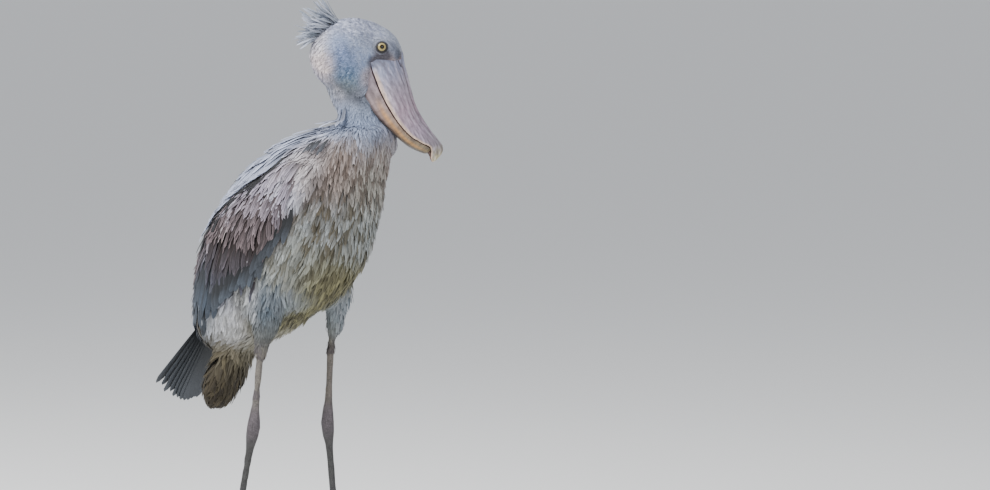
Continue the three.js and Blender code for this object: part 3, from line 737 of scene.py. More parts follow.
KEY_BITS = 10


def interleaved(points):
    """Sort keys that keep neighbours in space together."""
    size = (points.max(0) - points.min(0)).max()
    steps = ((points - points.min(0)) / size * (2**KEY_BITS - 1)).astype(np.int64)
    keys = np.zeros(len(points), np.int64)
    for bit in range(KEY_BITS):
        for axis in range(3):
            keys |= ((steps[:, axis] >> bit) & 1) << (3 * bit + axis)
    return keys


face_order = np.argsort(interleaved(face_at))


def scattered(chosen, coverage):
    """Feather roots spread evenly over the chosen faces, `coverage` feathers deep."""
    _, depth, length, width = coat_at(face_at)
    amount = np.where(chosen & (depth > 0.5), face_area * coverage / (0.62 * length * width), 0)[face_order]
    total = np.cumsum(amount)
    count = int(total[-1])
    picks = (np.arange(count) + dice.uniform(0.1, 0.9, count)).clip(0, total[-1] - 1e-6)
    faces = face_order[np.searchsorted(total, picks)]
    jitter = dice.uniform(-0.5, 0.5, (len(faces), 3)) * np.sqrt(face_area[faces])[:, None]
    jitter -= face_normal[faces] * (jitter * face_normal[faces]).sum(1, keepdims=True)
    return nearest(face_at[faces] + jitter)


def across(vectors, normals):
    """Vectors made square to normals."""
    return unit(vectors - normals * (vectors * normals).sum(-1, keepdims=True))


def runs(roots, normals, shares, length, yaw, hang=9.0):
    """Each feather's path: its places and the skin's normals at the shares of its length.

    It follows the skin, and past an edge it flies straight on where the skin is further off than `hang`.
    """
    at, out = roots, normals
    places, outs = [at], [out]
    for step in np.diff(shares):
        way = across(coat_at(at)[0], out)
        way = way * np.cos(yaw)[:, None] + np.cross(out, way) * np.sin(yaw)[:, None]
        ahead = at + way * (length * step)[:, None]
        spot, normal, _ = nearest(ahead)
        gap = np.linalg.norm(ahead - spot, axis=1)
        hold = np.clip(2 * (hang - gap) / hang, 0, 1)[:, None]
        at = ahead + (spot - ahead) * hold
        out = unit(out * (1 - 0.8 * hold) + normal * 0.8 * hold)
        places.append(at)
        outs.append(out)
    return np.stack(places, 1), np.stack(outs, 1)


MAP_UNIT = 0.01  # the flat maps' units for a millimetre
PATCH = 0.003  # a feather's size on the skin's unwrap
PATCH_REACH = 60  # the length in millimetres that fills a patch
SHAFT_LIFT = 0.12  # the least that a shaft stands over its vane's edges


def vanes(
    name, shares, places, outs, half, height, colours, uv,
    tilt=0, roof=0.22, shaft=0.86, edge=1.07, ragged=0.1
):
    """Joins one feather for each path; all but `shares` start with the feather's number, then the ring's."""
    count, rings = places.shape[0], places.shape[1] - 1
    ways = unit(np.gradient(places, axis=1))
    outs = across(outs, ways)
    sides = np.cross(ways, outs)
    tilt = np.broadcast_to(np.asarray(tilt, float), (count,))[:, None, None] * np.array(shares)[None, :, None]
    sides = sides * np.cos(tilt) + outs * np.sin(tilt)
    middle = places + outs * height[..., None]
    half = half[:, :, None]
    wide = half * (1 + ragged * dice.uniform(-1.4, 0.6, (count, rings + 1, 2)))
    rows = np.stack(
        [
            (middle - sides * wide[..., :1])[:, :rings],
            (middle + outs * (half * roof + SHAFT_LIFT))[:, :rings],
            (middle + sides * wide[..., 1:])[:, :rings],
        ],
        axis=2,
    )
    size = rings * 3 + 1
    points = np.concatenate([rows.reshape(count, rings * 3, 3), middle[:, -1:]], axis=1)
    shades = np.stack([colours * edge, colours * shaft, colours * edge], axis=2)[:, :rings]
    tints = np.concatenate([shades.reshape(count, rings * 3, 3), colours[:, -1:] * edge], axis=1)
    reach = np.linalg.norm(np.diff(places, axis=1), axis=2)
    along = np.concatenate([np.zeros((count, 1)), np.cumsum(reach, axis=1)], axis=1)
    vane = np.zeros((count, rings, 3, 2))
    vane[..., 0] = half[:, :rings] * [-1, 0, 1]
    vane[..., 1] = along[:, :rings, None]
    tip = np.stack([np.zeros(count), along[:, -1]], axis=1)[:, None]
    vane = np.concatenate([vane.reshape(count, rings * 3, 2), tip], axis=1) * MAP_UNIT

    # Each ring is an edge, the shaft and the other edge; the last vertex is the tip.
    quads = []
    for ring in range(rings - 1):
        a = 3 * ring
        quads += [[a, a + 1, a + 4, a + 3], [a + 1, a + 2, a + 5, a + 4], [a + 2, a, a + 3, a + 5]]
    a = 3 * (rings - 1)
    ends = [[a, a + 1, size - 1], [a + 1, a + 2, size - 1], [a + 2, a, size - 1], [0, 2, 1]]
    corners = np.array([*sum(quads, []), *sum(ends, [])])
    sizes = np.array([4] * len(quads) + [3] * len(ends))
    offset = np.arange(count)[:, None] * size
    all_corners = (corners[None] + offset).ravel()
    all_sizes = np.tile(sizes, count)
    mesh = bpy.data.meshes.new(name)
    mesh.vertices.add(count * size)
    mesh.vertices.foreach_set("co", (points * MM).astype(np.float32).ravel())
    mesh.loops.add(len(all_corners))
    mesh.loops.foreach_set("vertex_index", all_corners.astype(np.int32))
    mesh.polygons.add(len(all_sizes))
    starts = np.concatenate([[0], np.cumsum(all_sizes)[:-1]])
    mesh.polygons.foreach_set("loop_start", starts.astype(np.int32))
    mesh.update(calc_edges=True)
    mesh.shade_smooth()
    # The vane's rim is sharp: edges between two vertices of one side, or of a side and the tip.
    ends = edge_ends(mesh)
    kinds = np.where(ends % size == size - 1, 3, ends % size % 3)
    rim = ((kinds[:, 0] == kinds[:, 1]) & (kinds[:, 0] != 1)) | ((kinds == 3).any(1) & (kinds != 1).all(1))
    sharp = mesh.attributes.new("sharp_edge", "BOOLEAN", "EDGE")
    sharp.data.foreach_set("value", rim)
    set_tint(mesh, np.clip(tints.reshape(-1, 3), 0, 1))
    chance = mesh.attributes.new("chance", "FLOAT", "POINT")
    chance.data.foreach_set("value", np.repeat(dice.uniform(0, 1, count), size).astype(np.float32))
    flat = vane.reshape(-1, 2)
    patch = np.repeat(uv, size, axis=0) + (flat / MAP_UNIT / PATCH_REACH).clip(-0.5, 1) * PATCH
    for layer_name, values in (("OFBake", patch), ("vane", flat)):
        layer = mesh.uv_layers.new(name=layer_name)
        layer.uv.foreach_set("vector", values[all_corners].astype(np.float32).ravel())
    return new_piece(name, mesh)


BARB_GROUP = 4 / 3  # how far apart the groups of barbs are, in millimetres


# Feather material: the tint, broken up by fine barbs that run outward and back from the shaft
def plumage(name, roughness, contrast):
    made, tree = new_material(name)
    chance = add_node(tree, "ShaderNodeAttribute", {"attribute_name": "chance"})
    vane = add_node(tree, "ShaderNodeUVMap", {"uv_map": "vane"})
    apart = add_node(tree, "ShaderNodeSeparateXYZ", links={0: vane.outputs[0]})
    aside = add_node(tree, "ShaderNodeMath", {"operation": "ABSOLUTE"}, {0: apart.outputs["X"]})
    barb = add_node(
        tree,
        "ShaderNodeMath",
        {"operation": "MULTIPLY_ADD", 1: -1.3},
        {0: aside.outputs[0], 2: apart.outputs["Y"]},
    )
    feather = add_node(
        tree,
        "ShaderNodeMath",
        {"operation": "MULTIPLY", 1: 0.9},
        {0: chance.outputs["Fac"]},
    )
    place = add_node(
        tree,
        "ShaderNodeCombineXYZ",
        links={"X": barb.outputs[0], "Y": feather.outputs[0]},
    )
    barbs = add_node(
        tree,
        "ShaderNodeTexNoise",
        {"Scale": 1 / (BARB_GROUP * MAP_UNIT), "Detail": 2, "Roughness": 0.6},
        {"Vector": place.outputs[0]},
    )
    shade = add_node(
        tree,
        "ShaderNodeMapRange",
        {"From Min": 0.3, "From Max": 0.7, "To Min": 1 - contrast, "To Max": 1 + 0.6 * contrast},
        {"Value": barbs.outputs[0]},
    )
    colour = scaled_tint(tree, shade)
    bump = add_node(
        tree,
        "ShaderNodeBump",
        {"Strength": 0.35, "Distance": 0.3 * MM},
        {"Height": barbs.outputs[0]},
    )
    shader = add_node(
        tree,
        "ShaderNodeBsdfPrincipled",
        {"Roughness": roughness, "Specular IOR Level": 0.3, "Sheen Weight": 0.06, "Sheen Roughness": 0.5},
        {"Base Color": colour.outputs[0], "Normal": bump.outputs[0]},
    )
    finish_material(tree, shader)
    return made


body_feather = plumage("soft_body_feather", 0.8, 0.22)
# A long feather's outline: shares of its length, and of its half-width there
CONTOUR_AT = [0, 0.2, 0.42, 0.62, 0.8, 0.93, 1]
CONTOUR = [0.45, 0.85, 1.0, 0.95, 0.74, 0.42, 0]


def coat(
    name, chosen, coverage, shares, outline, slot,
    ruffle=0.1, mottle=1.0, bright=0.1, patch=20, **looks
):
    """A piece of the scattered coat over the chosen faces of the skin."""
    roots, normals, faces = scattered(chosen, coverage)
    count = len(roots)
    _, depth, length, width = coat_at(roots)
    yaw = dice.normal(0, ruffle, count)
    length = length * dice.uniform(0.8, 1.15, count)
    places, outs = runs(roots, normals, shares, length, yaw)
    steps = np.array(shares)[None]
    layer = dice.uniform(0.72, 1.08, count)[:, None]
    lift = np.abs(dice.normal(0, ruffle * 10, count))[:, None] * (depth / 12)[:, None]
    height = -1 + (depth[:, None] * layer + 1) * steps**0.75 + lift * steps**3
    half = 0.5 * width[:, None] * dice.uniform(0.8, 1.15, count)[:, None] * np.array(outline)[None]
    main, second = colours_at(places[:, -2])
    drawn = ripple(places[:, -2] * [1, 1, 0.4], patch)
    share = np.clip(0.5 + mottle * (0.6 * drawn + dice.normal(0, 0.34, count)), 0, 1)[:, None]
    colour = (main * (1 - share) + second * share) * dice.normal(1, bright, (count, 1)).clip(0.6, 1.4)
    # The root is darker than the tip, as it lies in shade.
    colours = colour[:, None, :] * (0.72 + 0.34 * steps[..., None])
    tilt = dice.normal(0, 0.3, count)
    piece = vanes(name, shares, places, outs, half, height, colours, face_uv[faces], tilt, **looks)
    piece.data.materials.append(body_feather)
    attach(piece, "root")
    return piece


# Head plumage
# Short, dense, velvety feathers, from 4 mm long round the bill to 20 mm on a shaggy nape. They root in the
# skin and leave the lids and the corner of the mouth bare. The face and the nape are a piece each.
BARE_LIDS = 16.4  # how far round an eye's middle the face is bare
BARE_GAPE = 5  # and how far round the corner of the mouth
face_in_head = in_head(face_at)
off_bill = past_horn_start(face_in_head) < -2.5 + 1.5 * ripple(face_at, 12)
off_eyes = eye_reach(face_at * MM) > BARE_LIDS
off_gape = np.linalg.norm(face_in_head[:, [0, 2]] - GAPE, axis=1) > BARE_GAPE
head_faces = on_parts("head", "eye_left", "eye_right") & off_bill & off_eyes & off_gape
for name, chosen in (("coat_face", face_in_head[:, 0] > 12), ("coat_nape", face_in_head[:, 0] <= 12)):
    coat(
        name,
        head_faces & chosen,
        5.5,
        [0, 0.4, 0.78, 1],
        [0.6, 1, 0.75, 0],
        "plumage_head",
        ruffle=0.12,
        bright=0.13,
        patch=9,
        mottle=1.4,
    )

# Neck plumage
# Narrow soft blue-grey feathers, rooted close together, that hang down the throat and run back over the
# shoulders.
SHORT_AT = [0, 0.3, 0.6, 0.85, 1]
SHORT = [0.5, 0.95, 1, 0.65, 0]
coat("coat_neck", on_parts("neck"), 9, SHORT_AT, SHORT, "plumage_grey", ruffle=0.13, ragged=0.3)

# Trunk plumage
# Long lanceolate feathers: brown and ragged on the breast, greenish-grey on the belly, and a pale cape
# over the back and shoulders. The front and the back are a piece each.
trunk_faces = on_parts("trunk")
for name, chosen in (("coat_breast", face_at[:, 0] > 45), ("coat_back", face_at[:, 0] <= 45)):
    coat(
        name,
        trunk_faces & chosen,
        7,
        CONTOUR_AT,
        CONTOUR,
        "plumage_brown",
        ruffle=0.16,
        bright=0.14,
        shaft=0.82,
        edge=1.06,
        ragged=0.4,
    )

# Thigh plumage
# Short close grey feathers over the muscle of the thigh. They thin out and end above the bare shank.
thigh_faces = on_parts("thigh_left", "thigh_right", "shank_left", "shank_right")
coat("coat_thighs", thigh_faces, 7, SHORT_AT, SHORT, "plumage_grey", ruffle=0.13, ragged=0.3)

# Undertail plumage
# Loose fluffy plumes with ragged edges that hang behind the legs, whitish above and dark brown at the end.
# They root in the skin over the base of the tail.
coat(
    "coat_undertail",
    on_parts("undertail"),
    9,
    CONTOUR_AT,
    CONTOUR,
    "plumage_brown",
    ruffle=0.2,
    bright=0.14,
    ragged=0.45,
)

# Shoulder plumage
# The small soft feathers on the bend of the folded wing, above the layered coverts. They root in the wing's
# skin, as the body's do in the body's.
SHOULDER = 660  # the height above which the wing has no layered rows
coat(
    "coat_shoulders",
    on_parts("wing_left", "wing_right") & (face_at[:, 2] > SHOULDER),
    8,
    CONTOUR_AT,
    CONTOUR,
    "plumage_brown",
    ruffle=0.1,
    ragged=0.3,
)

# Layered wing feathers
# Rows of coverts over long secondaries and primaries, with the cape's last rows over their roots. They are
# firmer than the body's feathers, and each row's roots lie under the row above it.
ROW_AT = [0, 0.15, 0.35, 0.55, 0.72, 0.85, 0.94, 1]
ROW_SHAPE = [0.5, 0.85, 1.0, 1.0, 0.98, 0.86, 0.6, 0]
ROW_HANG = 12.0  # firm feathers hold on to the skin from further off
OUTSIDE = 300  # well outside the bird, sideways


def dropped(side, line, count, stray):
    """Roots spread along a line in the side view (x, z), dropped on the skin from outside it."""
    line = np.array(line, float)
    reach = np.concatenate([[0], np.cumsum(np.linalg.norm(np.diff(line, axis=0), axis=1))])
    at = (np.arange(count) + 0.5 + dice.uniform(-0.25, 0.25, count)) / count * reach[-1]
    spots = np.stack([np.interp(at, reach, line[:, 0]), np.interp(at, reach, line[:, 1])], axis=1)
    spots += dice.normal(0, stray, spots.shape)
    found = [skin_tree.ray_cast((x, side * OUTSIDE, z), (0, -side, 0)) for x, z in spots]
    found = [item for item in found if item[0] is not None]
    faces = np.array([item[2] for item in found])
    return np.array([tuple(item[0]) for item in found]), face_normal[faces], faces


def feather_row(side, line, count, length, width, rise, base, tip, turn=0.35, pale=0.0, stray=2.0):
    """One row's paths, widths, heights, colours and places on the unwrap.

    `rise` is how high the roots and the tips stand off the skin, `turn` is the share of the length where the
    colour starts to change from `base` to `tip`, and `pale` is how much lighter the end is.
    """
    roots, normals, faces = dropped(side, line, count, stray)
    count = len(roots)
    sizes = length * dice.uniform(0.93, 1.07, count)
    places, outs = runs(roots, normals, ROW_AT, sizes, dice.normal(0, 0.05, count), ROW_HANG)
    steps = np.array(ROW_AT)[None]
    height = rise[0] + (rise[1] - rise[0]) * steps**0.8 + dice.normal(0, 0.7, (count, 1)) * steps
    half = 0.5 * width * dice.uniform(0.92, 1.08, (count, 1)) * np.array(ROW_SHAPE)[None]
    change = np.clip((steps - turn) / 0.4, 0, 1)[..., None]
    colours = linear(base) * (1 - change) + linear(tip) * change
    colours = colours * (1 + pale * np.clip((steps - 0.85) / 0.1, 0, 1)[..., None])
    colours = colours * dice.normal(1, 0.2, (count, 1, 1)).clip(0.55, 1.45)
    return places, outs, half, height, colours, face_uv[faces]


def joined_rows(name, rows, slot, **looks):
    """One piece of several rows."""
    places, outs, half, height, colours, uv = [np.concatenate(items) for items in zip(*rows)]
    piece = vanes(name, ROW_AT, places, outs, half, height, colours, uv, **looks)
    piece.data.materials.append(wing_feather)
    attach(piece, "root")
    return piece


wing_feather = plumage("firm_wing_feather", 0.62, 0.3)
COVERT_STRAY = 7.5  # how far the coverts' roots stray from their lines
# from and to as x, z; count, length, width; rise; colours of base and tip; turn, pale
COVERT_ROWS = [
    ([(-134, 596), (-40, 566)], 24, 112, 10, (3, 9), "1b1617", "42454f", 0.6, 0.0),
    ([(-114, 620), (10, 592)], 34, 122, 9, (4, 11), "1f1616", "454653", 0.62, 0.0),
    ([(-100, 646), (32, 626)], 38, 124, 9, (4, 12), "231817", "48434a", 0.6, 0.0),
    ([(-98, 656), (60, 650)], 44, 92, 8, (5, 13), "271d1d", "54494b", 0.5, 0.45),
    ([(-92, 676), (66, 670)], 44, 84, 7.5, (5, 14), "2f2526", "605558", 0.5, 0.35),
    ([(-84, 696), (74, 692)], 42, 74, 7.5, (5, 14), "3e3436", "786f78", 0.45, 0.25),
    ([(-70, 714), (84, 710)], 32, 64, 8.5, (5, 14), "5a5054", "8c8593", 0.35, 0.2),
    ([(-50, 730), (94, 730)], 30, 56, 8, (5, 14), "645b5f", "9b94a0", 0.35, 0.2),
]
# Flight feathers show as a dark band along the wing's lower edge and at its tip; along the edge their own
# dark slate is deepened with painted shade under the wing.
FLIGHT_ROWS = [
    ([(76, 656), (-2, 566)], 24, 84, 12, (6, 15), "1a1b1e", "30353c", 0.5),
    ([(-2, 566), (-92, 510)], 21, 66, 12, (8, 15), "1a1c20", "3a414a", 0.5),
    ([(-150, 566), (-92, 524)], 12, 104, 14, (6, 11), "1c2025", "2f3843", 0.4),
    ([(-166, 530), (-124, 486)], 9, 96, 13, (6, 10), "191c20", "2c343e", 0.4),
]
# The cape's lowest row starts on this line, and each row above it a step further up and forward.
CAPE_LINE = np.array(
    [(108, 788), (76, 768), (42, 738), (-2, 710), (-42, 684), (-80, 654), (-106, 626)], float
)
CAPE_STEP = np.array([15, 20])
CAPE_GAP = np.array([-12, -17])  # from the lowest row to the near-black one under it, painted shadow of the cape's edge
PARTING = [(104, 762), (134, 766)]  # a parting at the cape's front corner, of near-black feathers as painted shade in the gap

for side_name, side in (("right", -1), ("left", 1)):
    coverts = [feather_row(side, *row, stray=COVERT_STRAY) for row in COVERT_ROWS]
    joined_rows(f"coverts_{side_name}", coverts, "plumage_brown", shaft=0.5, edge=1.3, ragged=0.5)

    # The first row is near-black feathers that show just under the cape's edge as its painted shadow.
    cape = [feather_row(side, CAPE_LINE[1:] + CAPE_GAP, 46, 74, 10, (6, 15), "131316", "17171a", 0.3)]
    for step in (2, 1, 0):
        start = CAPE_LINE + CAPE_STEP * step
        cape.append(feather_row(side, start, 46, 68, 9, (6, 20), "666c7c", "9ba1b4", 0.3, 0.1))
    # Near-black feathers in the parting: painted shade.
    cape.append(feather_row(side, PARTING, 8, 26, 5.5, (12, 19), "202226", "33363d", 0.3))
    joined_rows(f"cape_{side_name}", cape, "plumage_brown", shaft=0.75, edge=1.15, ragged=0.25)

    flight = joined_rows(
        f"flight_{side_name}",
        [feather_row(side, *row) for row in FLIGHT_ROWS],
        "plumage_slate",
        edge=1.15,
    )
    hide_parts(f"flight_feathers_{side_name}")

# Tail
# Twelve stiff slate feathers in a closed fan. Their roots sit side by side in the stump of the tail, and the
# fan is rolled a little to the bird's left.
TAIL_ROOT = np.array([-164.0, 0.0, 440.0])
TAIL_TIP = np.array([-262.0, 0.0, 266.0])
TAIL_ROLL = 0.28
TAIL_SPREAD = 66.0
TAIL_BASE = 20.0  # half the fan's width at the roots
TAIL_FEATHERS = 12
TAIL_HALF = 15.0  # a feather's half-width
TAIL_AT = [0, 0.12, 0.3, 0.5, 0.7, 0.84, 0.92, 0.97, 1]
TAIL_SHAPE = [0.45, 0.7, 0.9, 1.0, 1.0, 0.96, 0.8, 0.55, 0]


def free_paths(roots, ways, bends, outs, length, shares):
    """Paths of feathers that stand free of the skin."""
    steps = np.array(shares)[None, :, None]
    reach = length[:, None, None]
    places = roots[:, None] + unit(ways)[:, None] * steps * reach + bends[:, None] * steps**2 * reach
    return places, np.repeat(outs[:, None], len(shares), axis=1)


fan = np.linspace(-1, 1, TAIL_FEATHERS)
tips = TAIL_TIP + np.stack([-7.2 * fan**2, TAIL_SPREAD * fan, 14 * fan**2], axis=1)
roots = TAIL_ROOT + np.stack([-4 * np.abs(fan), TAIL_BASE * fan, 0 * fan], axis=1)
tips[:, 2] -= TAIL_ROLL * tips[:, 1]
roots[:, 2] -= TAIL_ROLL * roots[:, 1]
tail_out = unit(fan[:, None] * [0, 0.05, 0] + [-0.86, 0, 0.5])
# The middle feathers lie over the outer ones.
roots = roots + tail_out * (3.5 * (1 - np.abs(fan)))[:, None]
length = np.linalg.norm(tips - roots, axis=1) * dice.uniform(0.97, 1.02, TAIL_FEATHERS)
places, outs = free_paths(roots, tips - roots, tail_out * 0.03, tail_out, length, TAIL_AT)
change = np.clip((np.array(TAIL_AT) - 0.3) / 0.5, 0, 1)[None, :, None]
colours = linear("23272b") * (1 - change) + linear("3b4047") * change
colours = colours * dice.uniform(0.88, 1.12, (TAIL_FEATHERS, 1, 1))
half = np.tile(TAIL_HALF * np.array(TAIL_SHAPE), (TAIL_FEATHERS, 1))
uv = face_uv[nearest(roots)[2]]
tail = vanes("tail_fan", TAIL_AT, places, outs, half, 0 * half, colours, uv, roof=0.12, shaft=1.35, edge=0.95)
tail.data.materials.append(wing_feather)
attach(tail, "root")
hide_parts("tail")

# Crest
# A loose tuft of soft grey plumes that root in the skin behind the crown. Most of them lie back, and a few
# stand up.
CREST_COUNT = 190
CREST_HALF = 3.6  # a plume's half-width
CREST_SHAPE = [0.4, 0.7, 0.95, 1, 0.8, 0.5, 0]
RAISED_SHARE = 0.12
spread = dice.uniform(-1, 1, CREST_COUNT)
rank = dice.uniform(0, 1, CREST_COUNT)
roots = np.stack([-34 - 34 * rank, 15 * spread, 64 - 26 * rank**2], axis=1)
ways = np.stack([0 * rank - 0.85, 0.22 * spread, 0.62 - 0.75 * rank], axis=1)
ways += dice.normal(0, 0.12, ways.shape)
roots = nearest(from_head(roots))[0]
crest_out = unit(turned(spread[:, None] * [0, 0.3, 0] + [0.45, 0, 0.85], HEAD_TURN))
ways = turned(unit(ways), HEAD_TURN)
raised = dice.uniform(0, 1, CREST_COUNT) < RAISED_SHARE
ways[raised] = unit(ways[raised] + turned(np.array([[-0.1, 0.0, 0.75]]), HEAD_TURN))
length = np.where(raised, 56, 42) * dice.uniform(0.75, 1.2, CREST_COUNT)
bends = np.array([0, 0, -0.16]) + dice.normal(0, 0.08, (CREST_COUNT, 3))
places, outs = free_paths(roots, ways, bends, crest_out, length, CONTOUR_AT)
half = CREST_HALF * np.array(CREST_SHAPE)[None] * dice.uniform(0.7, 1.2, (CREST_COUNT, 1))
share = dice.uniform(0, 1, (CREST_COUNT, 1, 1))
brighter = np.linspace(0.8, 1.1, len(CONTOUR_AT))[None, :, None]
colours = (linear("838b98") * share + linear("b3b8c6") * (1 - share)) * brighter
uv = face_uv[nearest(roots)[2]]
tilt = dice.normal(0, 0.8, CREST_COUNT)
crest = vanes("crest_plumes", CONTOUR_AT, places, outs, half, 0 * half, colours, uv, tilt, ragged=0.4)
crest.data.materials.append(body_feather)
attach(crest, "root")
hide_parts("crest")

# Upper bill
# A heavy pinkish-grey horn sheath over bone, with a ridge and a groove down its top, slit nostrils, a pale
# cutting edge and a hooked nail. Its root is sunk into the face.

# The mouth's edge and the hook's, as places along the bill and above its axis
MOUTH_LINE = np.array(
    [(-24, -27), (0, -33), (28, -37), (60, -39), (95, -38), (128, -33), (150, -26), (169, -14.5), (184, -4)],
    float,
)
HOOK_LINE = np.array([(190, -4.5), (197, -8.5), (204, -12), (209, -13), (214, -11)], float)
UPPER_FROM = -16
UPPER_LENGTH = 228.5
TOP_SHARE = 0.7  # of the way round a half of the bill, the part that its outer side takes
# along the bill; the culmen's height; half-width
UPPER_ROWS = np.array(
    [
        (-16, 26, 36), (-6, 30, 40), (4, 31, 43), (24, 25, 46), (50, 19.5, 49.5), (79, 12.5, 51),
        (96, 9, 50.5), (116, 7.5, 48), (140, 9, 44.5), (165, 12.5, 37), (182, 16, 28), (194, 17.5, 20),
        (204, 11.5, 13), (209, 3.5, 9), (213, -7, 4),
    ],
    float,
)
# The section from the ridge to the edge, as shares of the half-width and the height
UPPER_SECTION = np.array(
    [(0, 1), (0.09, 0.985), (0.17, 0.9), (0.36, 0.83), (0.58, 0.7), (0.78, 0.48), (0.93, 0.22), (1, 0.02)]
)
NOSTRIL = np.array([(1.0, 11.0), (12.0, 17.5), (27.0, 17.0)])


def curve(at, stops, values):
    """A smooth curve through values at stops."""
    slopes = np.gradient(values, stops)
    i = np.clip(np.searchsorted(stops, at) - 1, 0, len(stops) - 2)
    gap = stops[i + 1] - stops[i]
    u = np.clip((at - stops[i]) / gap, 0, 1)
    start = (2 * u**3 - 3 * u**2 + 1) * values[i] + (u**3 - 2 * u**2 + u) * gap * slopes[i]
    return start + (3 * u**2 - 2 * u**3) * values[i + 1] + (u**3 - u**2) * gap * slopes[i + 1]


def between(at, stops, codes):
    """Colours between hex codes at stops."""
    colours = np.array([linear(code) for code in codes])
    return np.stack([np.interp(at, stops, colours[:, i]) for i in range(3)], axis=1)


def blend(colours, code, share):
    """Colours mixed with a hex one."""
    share = np.clip(share, 0, 1)[:, None]
    return colours * (1 - share) + linear(code) * share


def warped_grid(name, along, around, shape):
    """A grid bent into a closed shape: `shape` gives places, colours and map for its shares (u, v)."""
    body = bmesh.new()
    bmesh.ops.create_grid(body, x_segments=along, y_segments=around, size=1)
    mesh = bpy.data.meshes.new(name)
    body.to_mesh(mesh)
    body.free()
    shares = (numbers(mesh)[:, :2] + 1) / 2
    places, colours, flat = shape(shares[:, 0], shares[:, 1])
    place_vertices(mesh, places * MM)
    set_tint(mesh, colours)
    corners = np.zeros(len(mesh.loops), np.int64)
    mesh.loops.foreach_get("vertex_index", corners)
    mesh.uv_layers.new(name="horn").uv.foreach_set("vector", flat[corners].astype(np.float32).ravel())
    body = bmesh.new()
    body.from_mesh(mesh)
    bmesh.ops.remove_doubles(body, verts=body.verts, dist=2 * WELD)
    bmesh.ops.recalc_face_normals(body, faces=body.faces)
    body.to_mesh(mesh)
    body.free()
    mesh.shade_smooth()
    return new_piece(name, mesh)


def from_bill(t, side, d):
    """Places in the bill's frame as world millimetres."""
    forward = t * math.cos(BILL_TURN) + d * math.sin(BILL_TURN)
    up = -t * math.sin(BILL_TURN) + d * math.cos(BILL_TURN)
    return from_head(np.stack([forward, side, up], axis=1) + BILL_AT)


def section_share(v):
    """Whether shares round a half of the bill are on its outer side, and where across it from -1 to 1."""
    outer = v < TOP_SHARE
    return outer, np.where(outer, v / TOP_SHARE * 2 - 1, 1 - 2 * (v - TOP_SHARE) / (1 - TOP_SHARE))


def drawn_out(t, side, d):
    """A pattern of streaks along the bill, from -1 to 1."""
    return ripple(np.stack([t * 0.22, side, d], axis=1), 9)


def horn_map(t, side, d):
    """The flat map that the horn's grain follows."""
    return np.stack([t, side + 0.5 * d], axis=1) * MAP_UNIT


def upper_bill(u, v):
    """The upper half: `u` runs along it and `v` over its outer side and back along the palate."""
    t = UPPER_FROM + UPPER_LENGTH * (1 - (1 - u) ** 1.15)
    culmen = curve(t, UPPER_ROWS[:, 0], UPPER_ROWS[:, 1])
    half = curve(t, UPPER_ROWS[:, 0], UPPER_ROWS[:, 2])
    hook = np.clip((t - 186) / 26, 0, 1)
    rim_line = np.concatenate([MOUTH_LINE, HOOK_LINE])
    rim = curve(t, rim_line[:, 0], rim_line[:, 1])
    top, around = section_share(v)
    q = np.abs(around)
    stops = np.linspace(0, 1, len(UPPER_SECTION))
    wide = np.where(top, curve(q, stops, UPPER_SECTION[:, 0]), 0.995 * q)
    high = np.where(top, curve(q, stops, UPPER_SECTION[:, 1]), 0)
    lip = np.exp(-(((q - 0.985) / 0.03) ** 2))
    d = rim + (culmen - rim) * high + np.where(top, 0, 5 * (1 - hook) * (1 - q**4)) - 0.9 * lip
    side = np.sign(around) * half * wide
    slit, _ = line_reach(np.stack([t, d], axis=1), NOSTRIL)
    dent = 2.6 * np.exp(-((slit / 1.5) ** 2)) * top
    groove = 0.9 * np.exp(-(((q - 0.27) / 0.03) ** 2)) * top * np.clip((t - 20) / 15, 0, 1) * (1 - hook)
    wear = 0.25 * ripple(np.stack([t * 0.3, side, d], axis=1), 8) * top
    side = side - np.sign(side) * (dent * 0.7 + groove * 0.4)
    d = d - dent * 0.8 - groove + wear
    close = np.where((u < 0.001) | (u > 0.999), 0.0, np.minimum(1, (1 - u) / 0.012) ** 0.5)
    middle = 0.5 * (culmen + rim)
    side = side * close
    d = middle + (d - middle) * close
    places = from_bill(t, side, d)
    # Towards the hook the horn turns beige-green, partly its own paler tip and partly a painted reflection of
    # the surroundings.
    colours = between(
        t,
        [UPPER_FROM, 20, 60, 100, 150, 185, 198, 206, 213],
        ["7a8198", "848aa3", "958b99", "9a8593", "8b7c8c", "7f777e", "878070", "a59b7b", "b8ae89"],
    )
    streak = drawn_out(t, side, d)
    colours = blend(colours, "5b5059", 0.5 * np.clip(streak, 0, 1))
    colours = blend(colours, "b9aebb", 0.5 * np.clip(-streak, 0, 1))
    colours = blend(colours, "6f726f", 0.7 * np.exp(-((q / 0.13) ** 2)) * top)
    cutting_edge = np.clip((q - 0.9) / 0.06, 0, 1) * np.clip((t - 4) / 20, 0, 1) * top
    colours = blend(colours, "cbb09b", 0.85 * cutting_edge)
    # Painted shade inside the nostril slits and along the groove down the top.
    colours = blend(colours, "3b343b", 0.95 * np.exp(-((slit / 1.7) ** 2)) * top)
    colours = blend(colours, "5d5358", 0.9 * groove)
    colours = blend(colours, "5a3f3d", 0.8 * (~top))
    return places, colours, horn_map(t, side, d)


HORN_BLOT = 100 / 22  # the size of the horn's blotches in millimetres
HORN_LINE = 100 / 120  # how far apart the grain's lines are


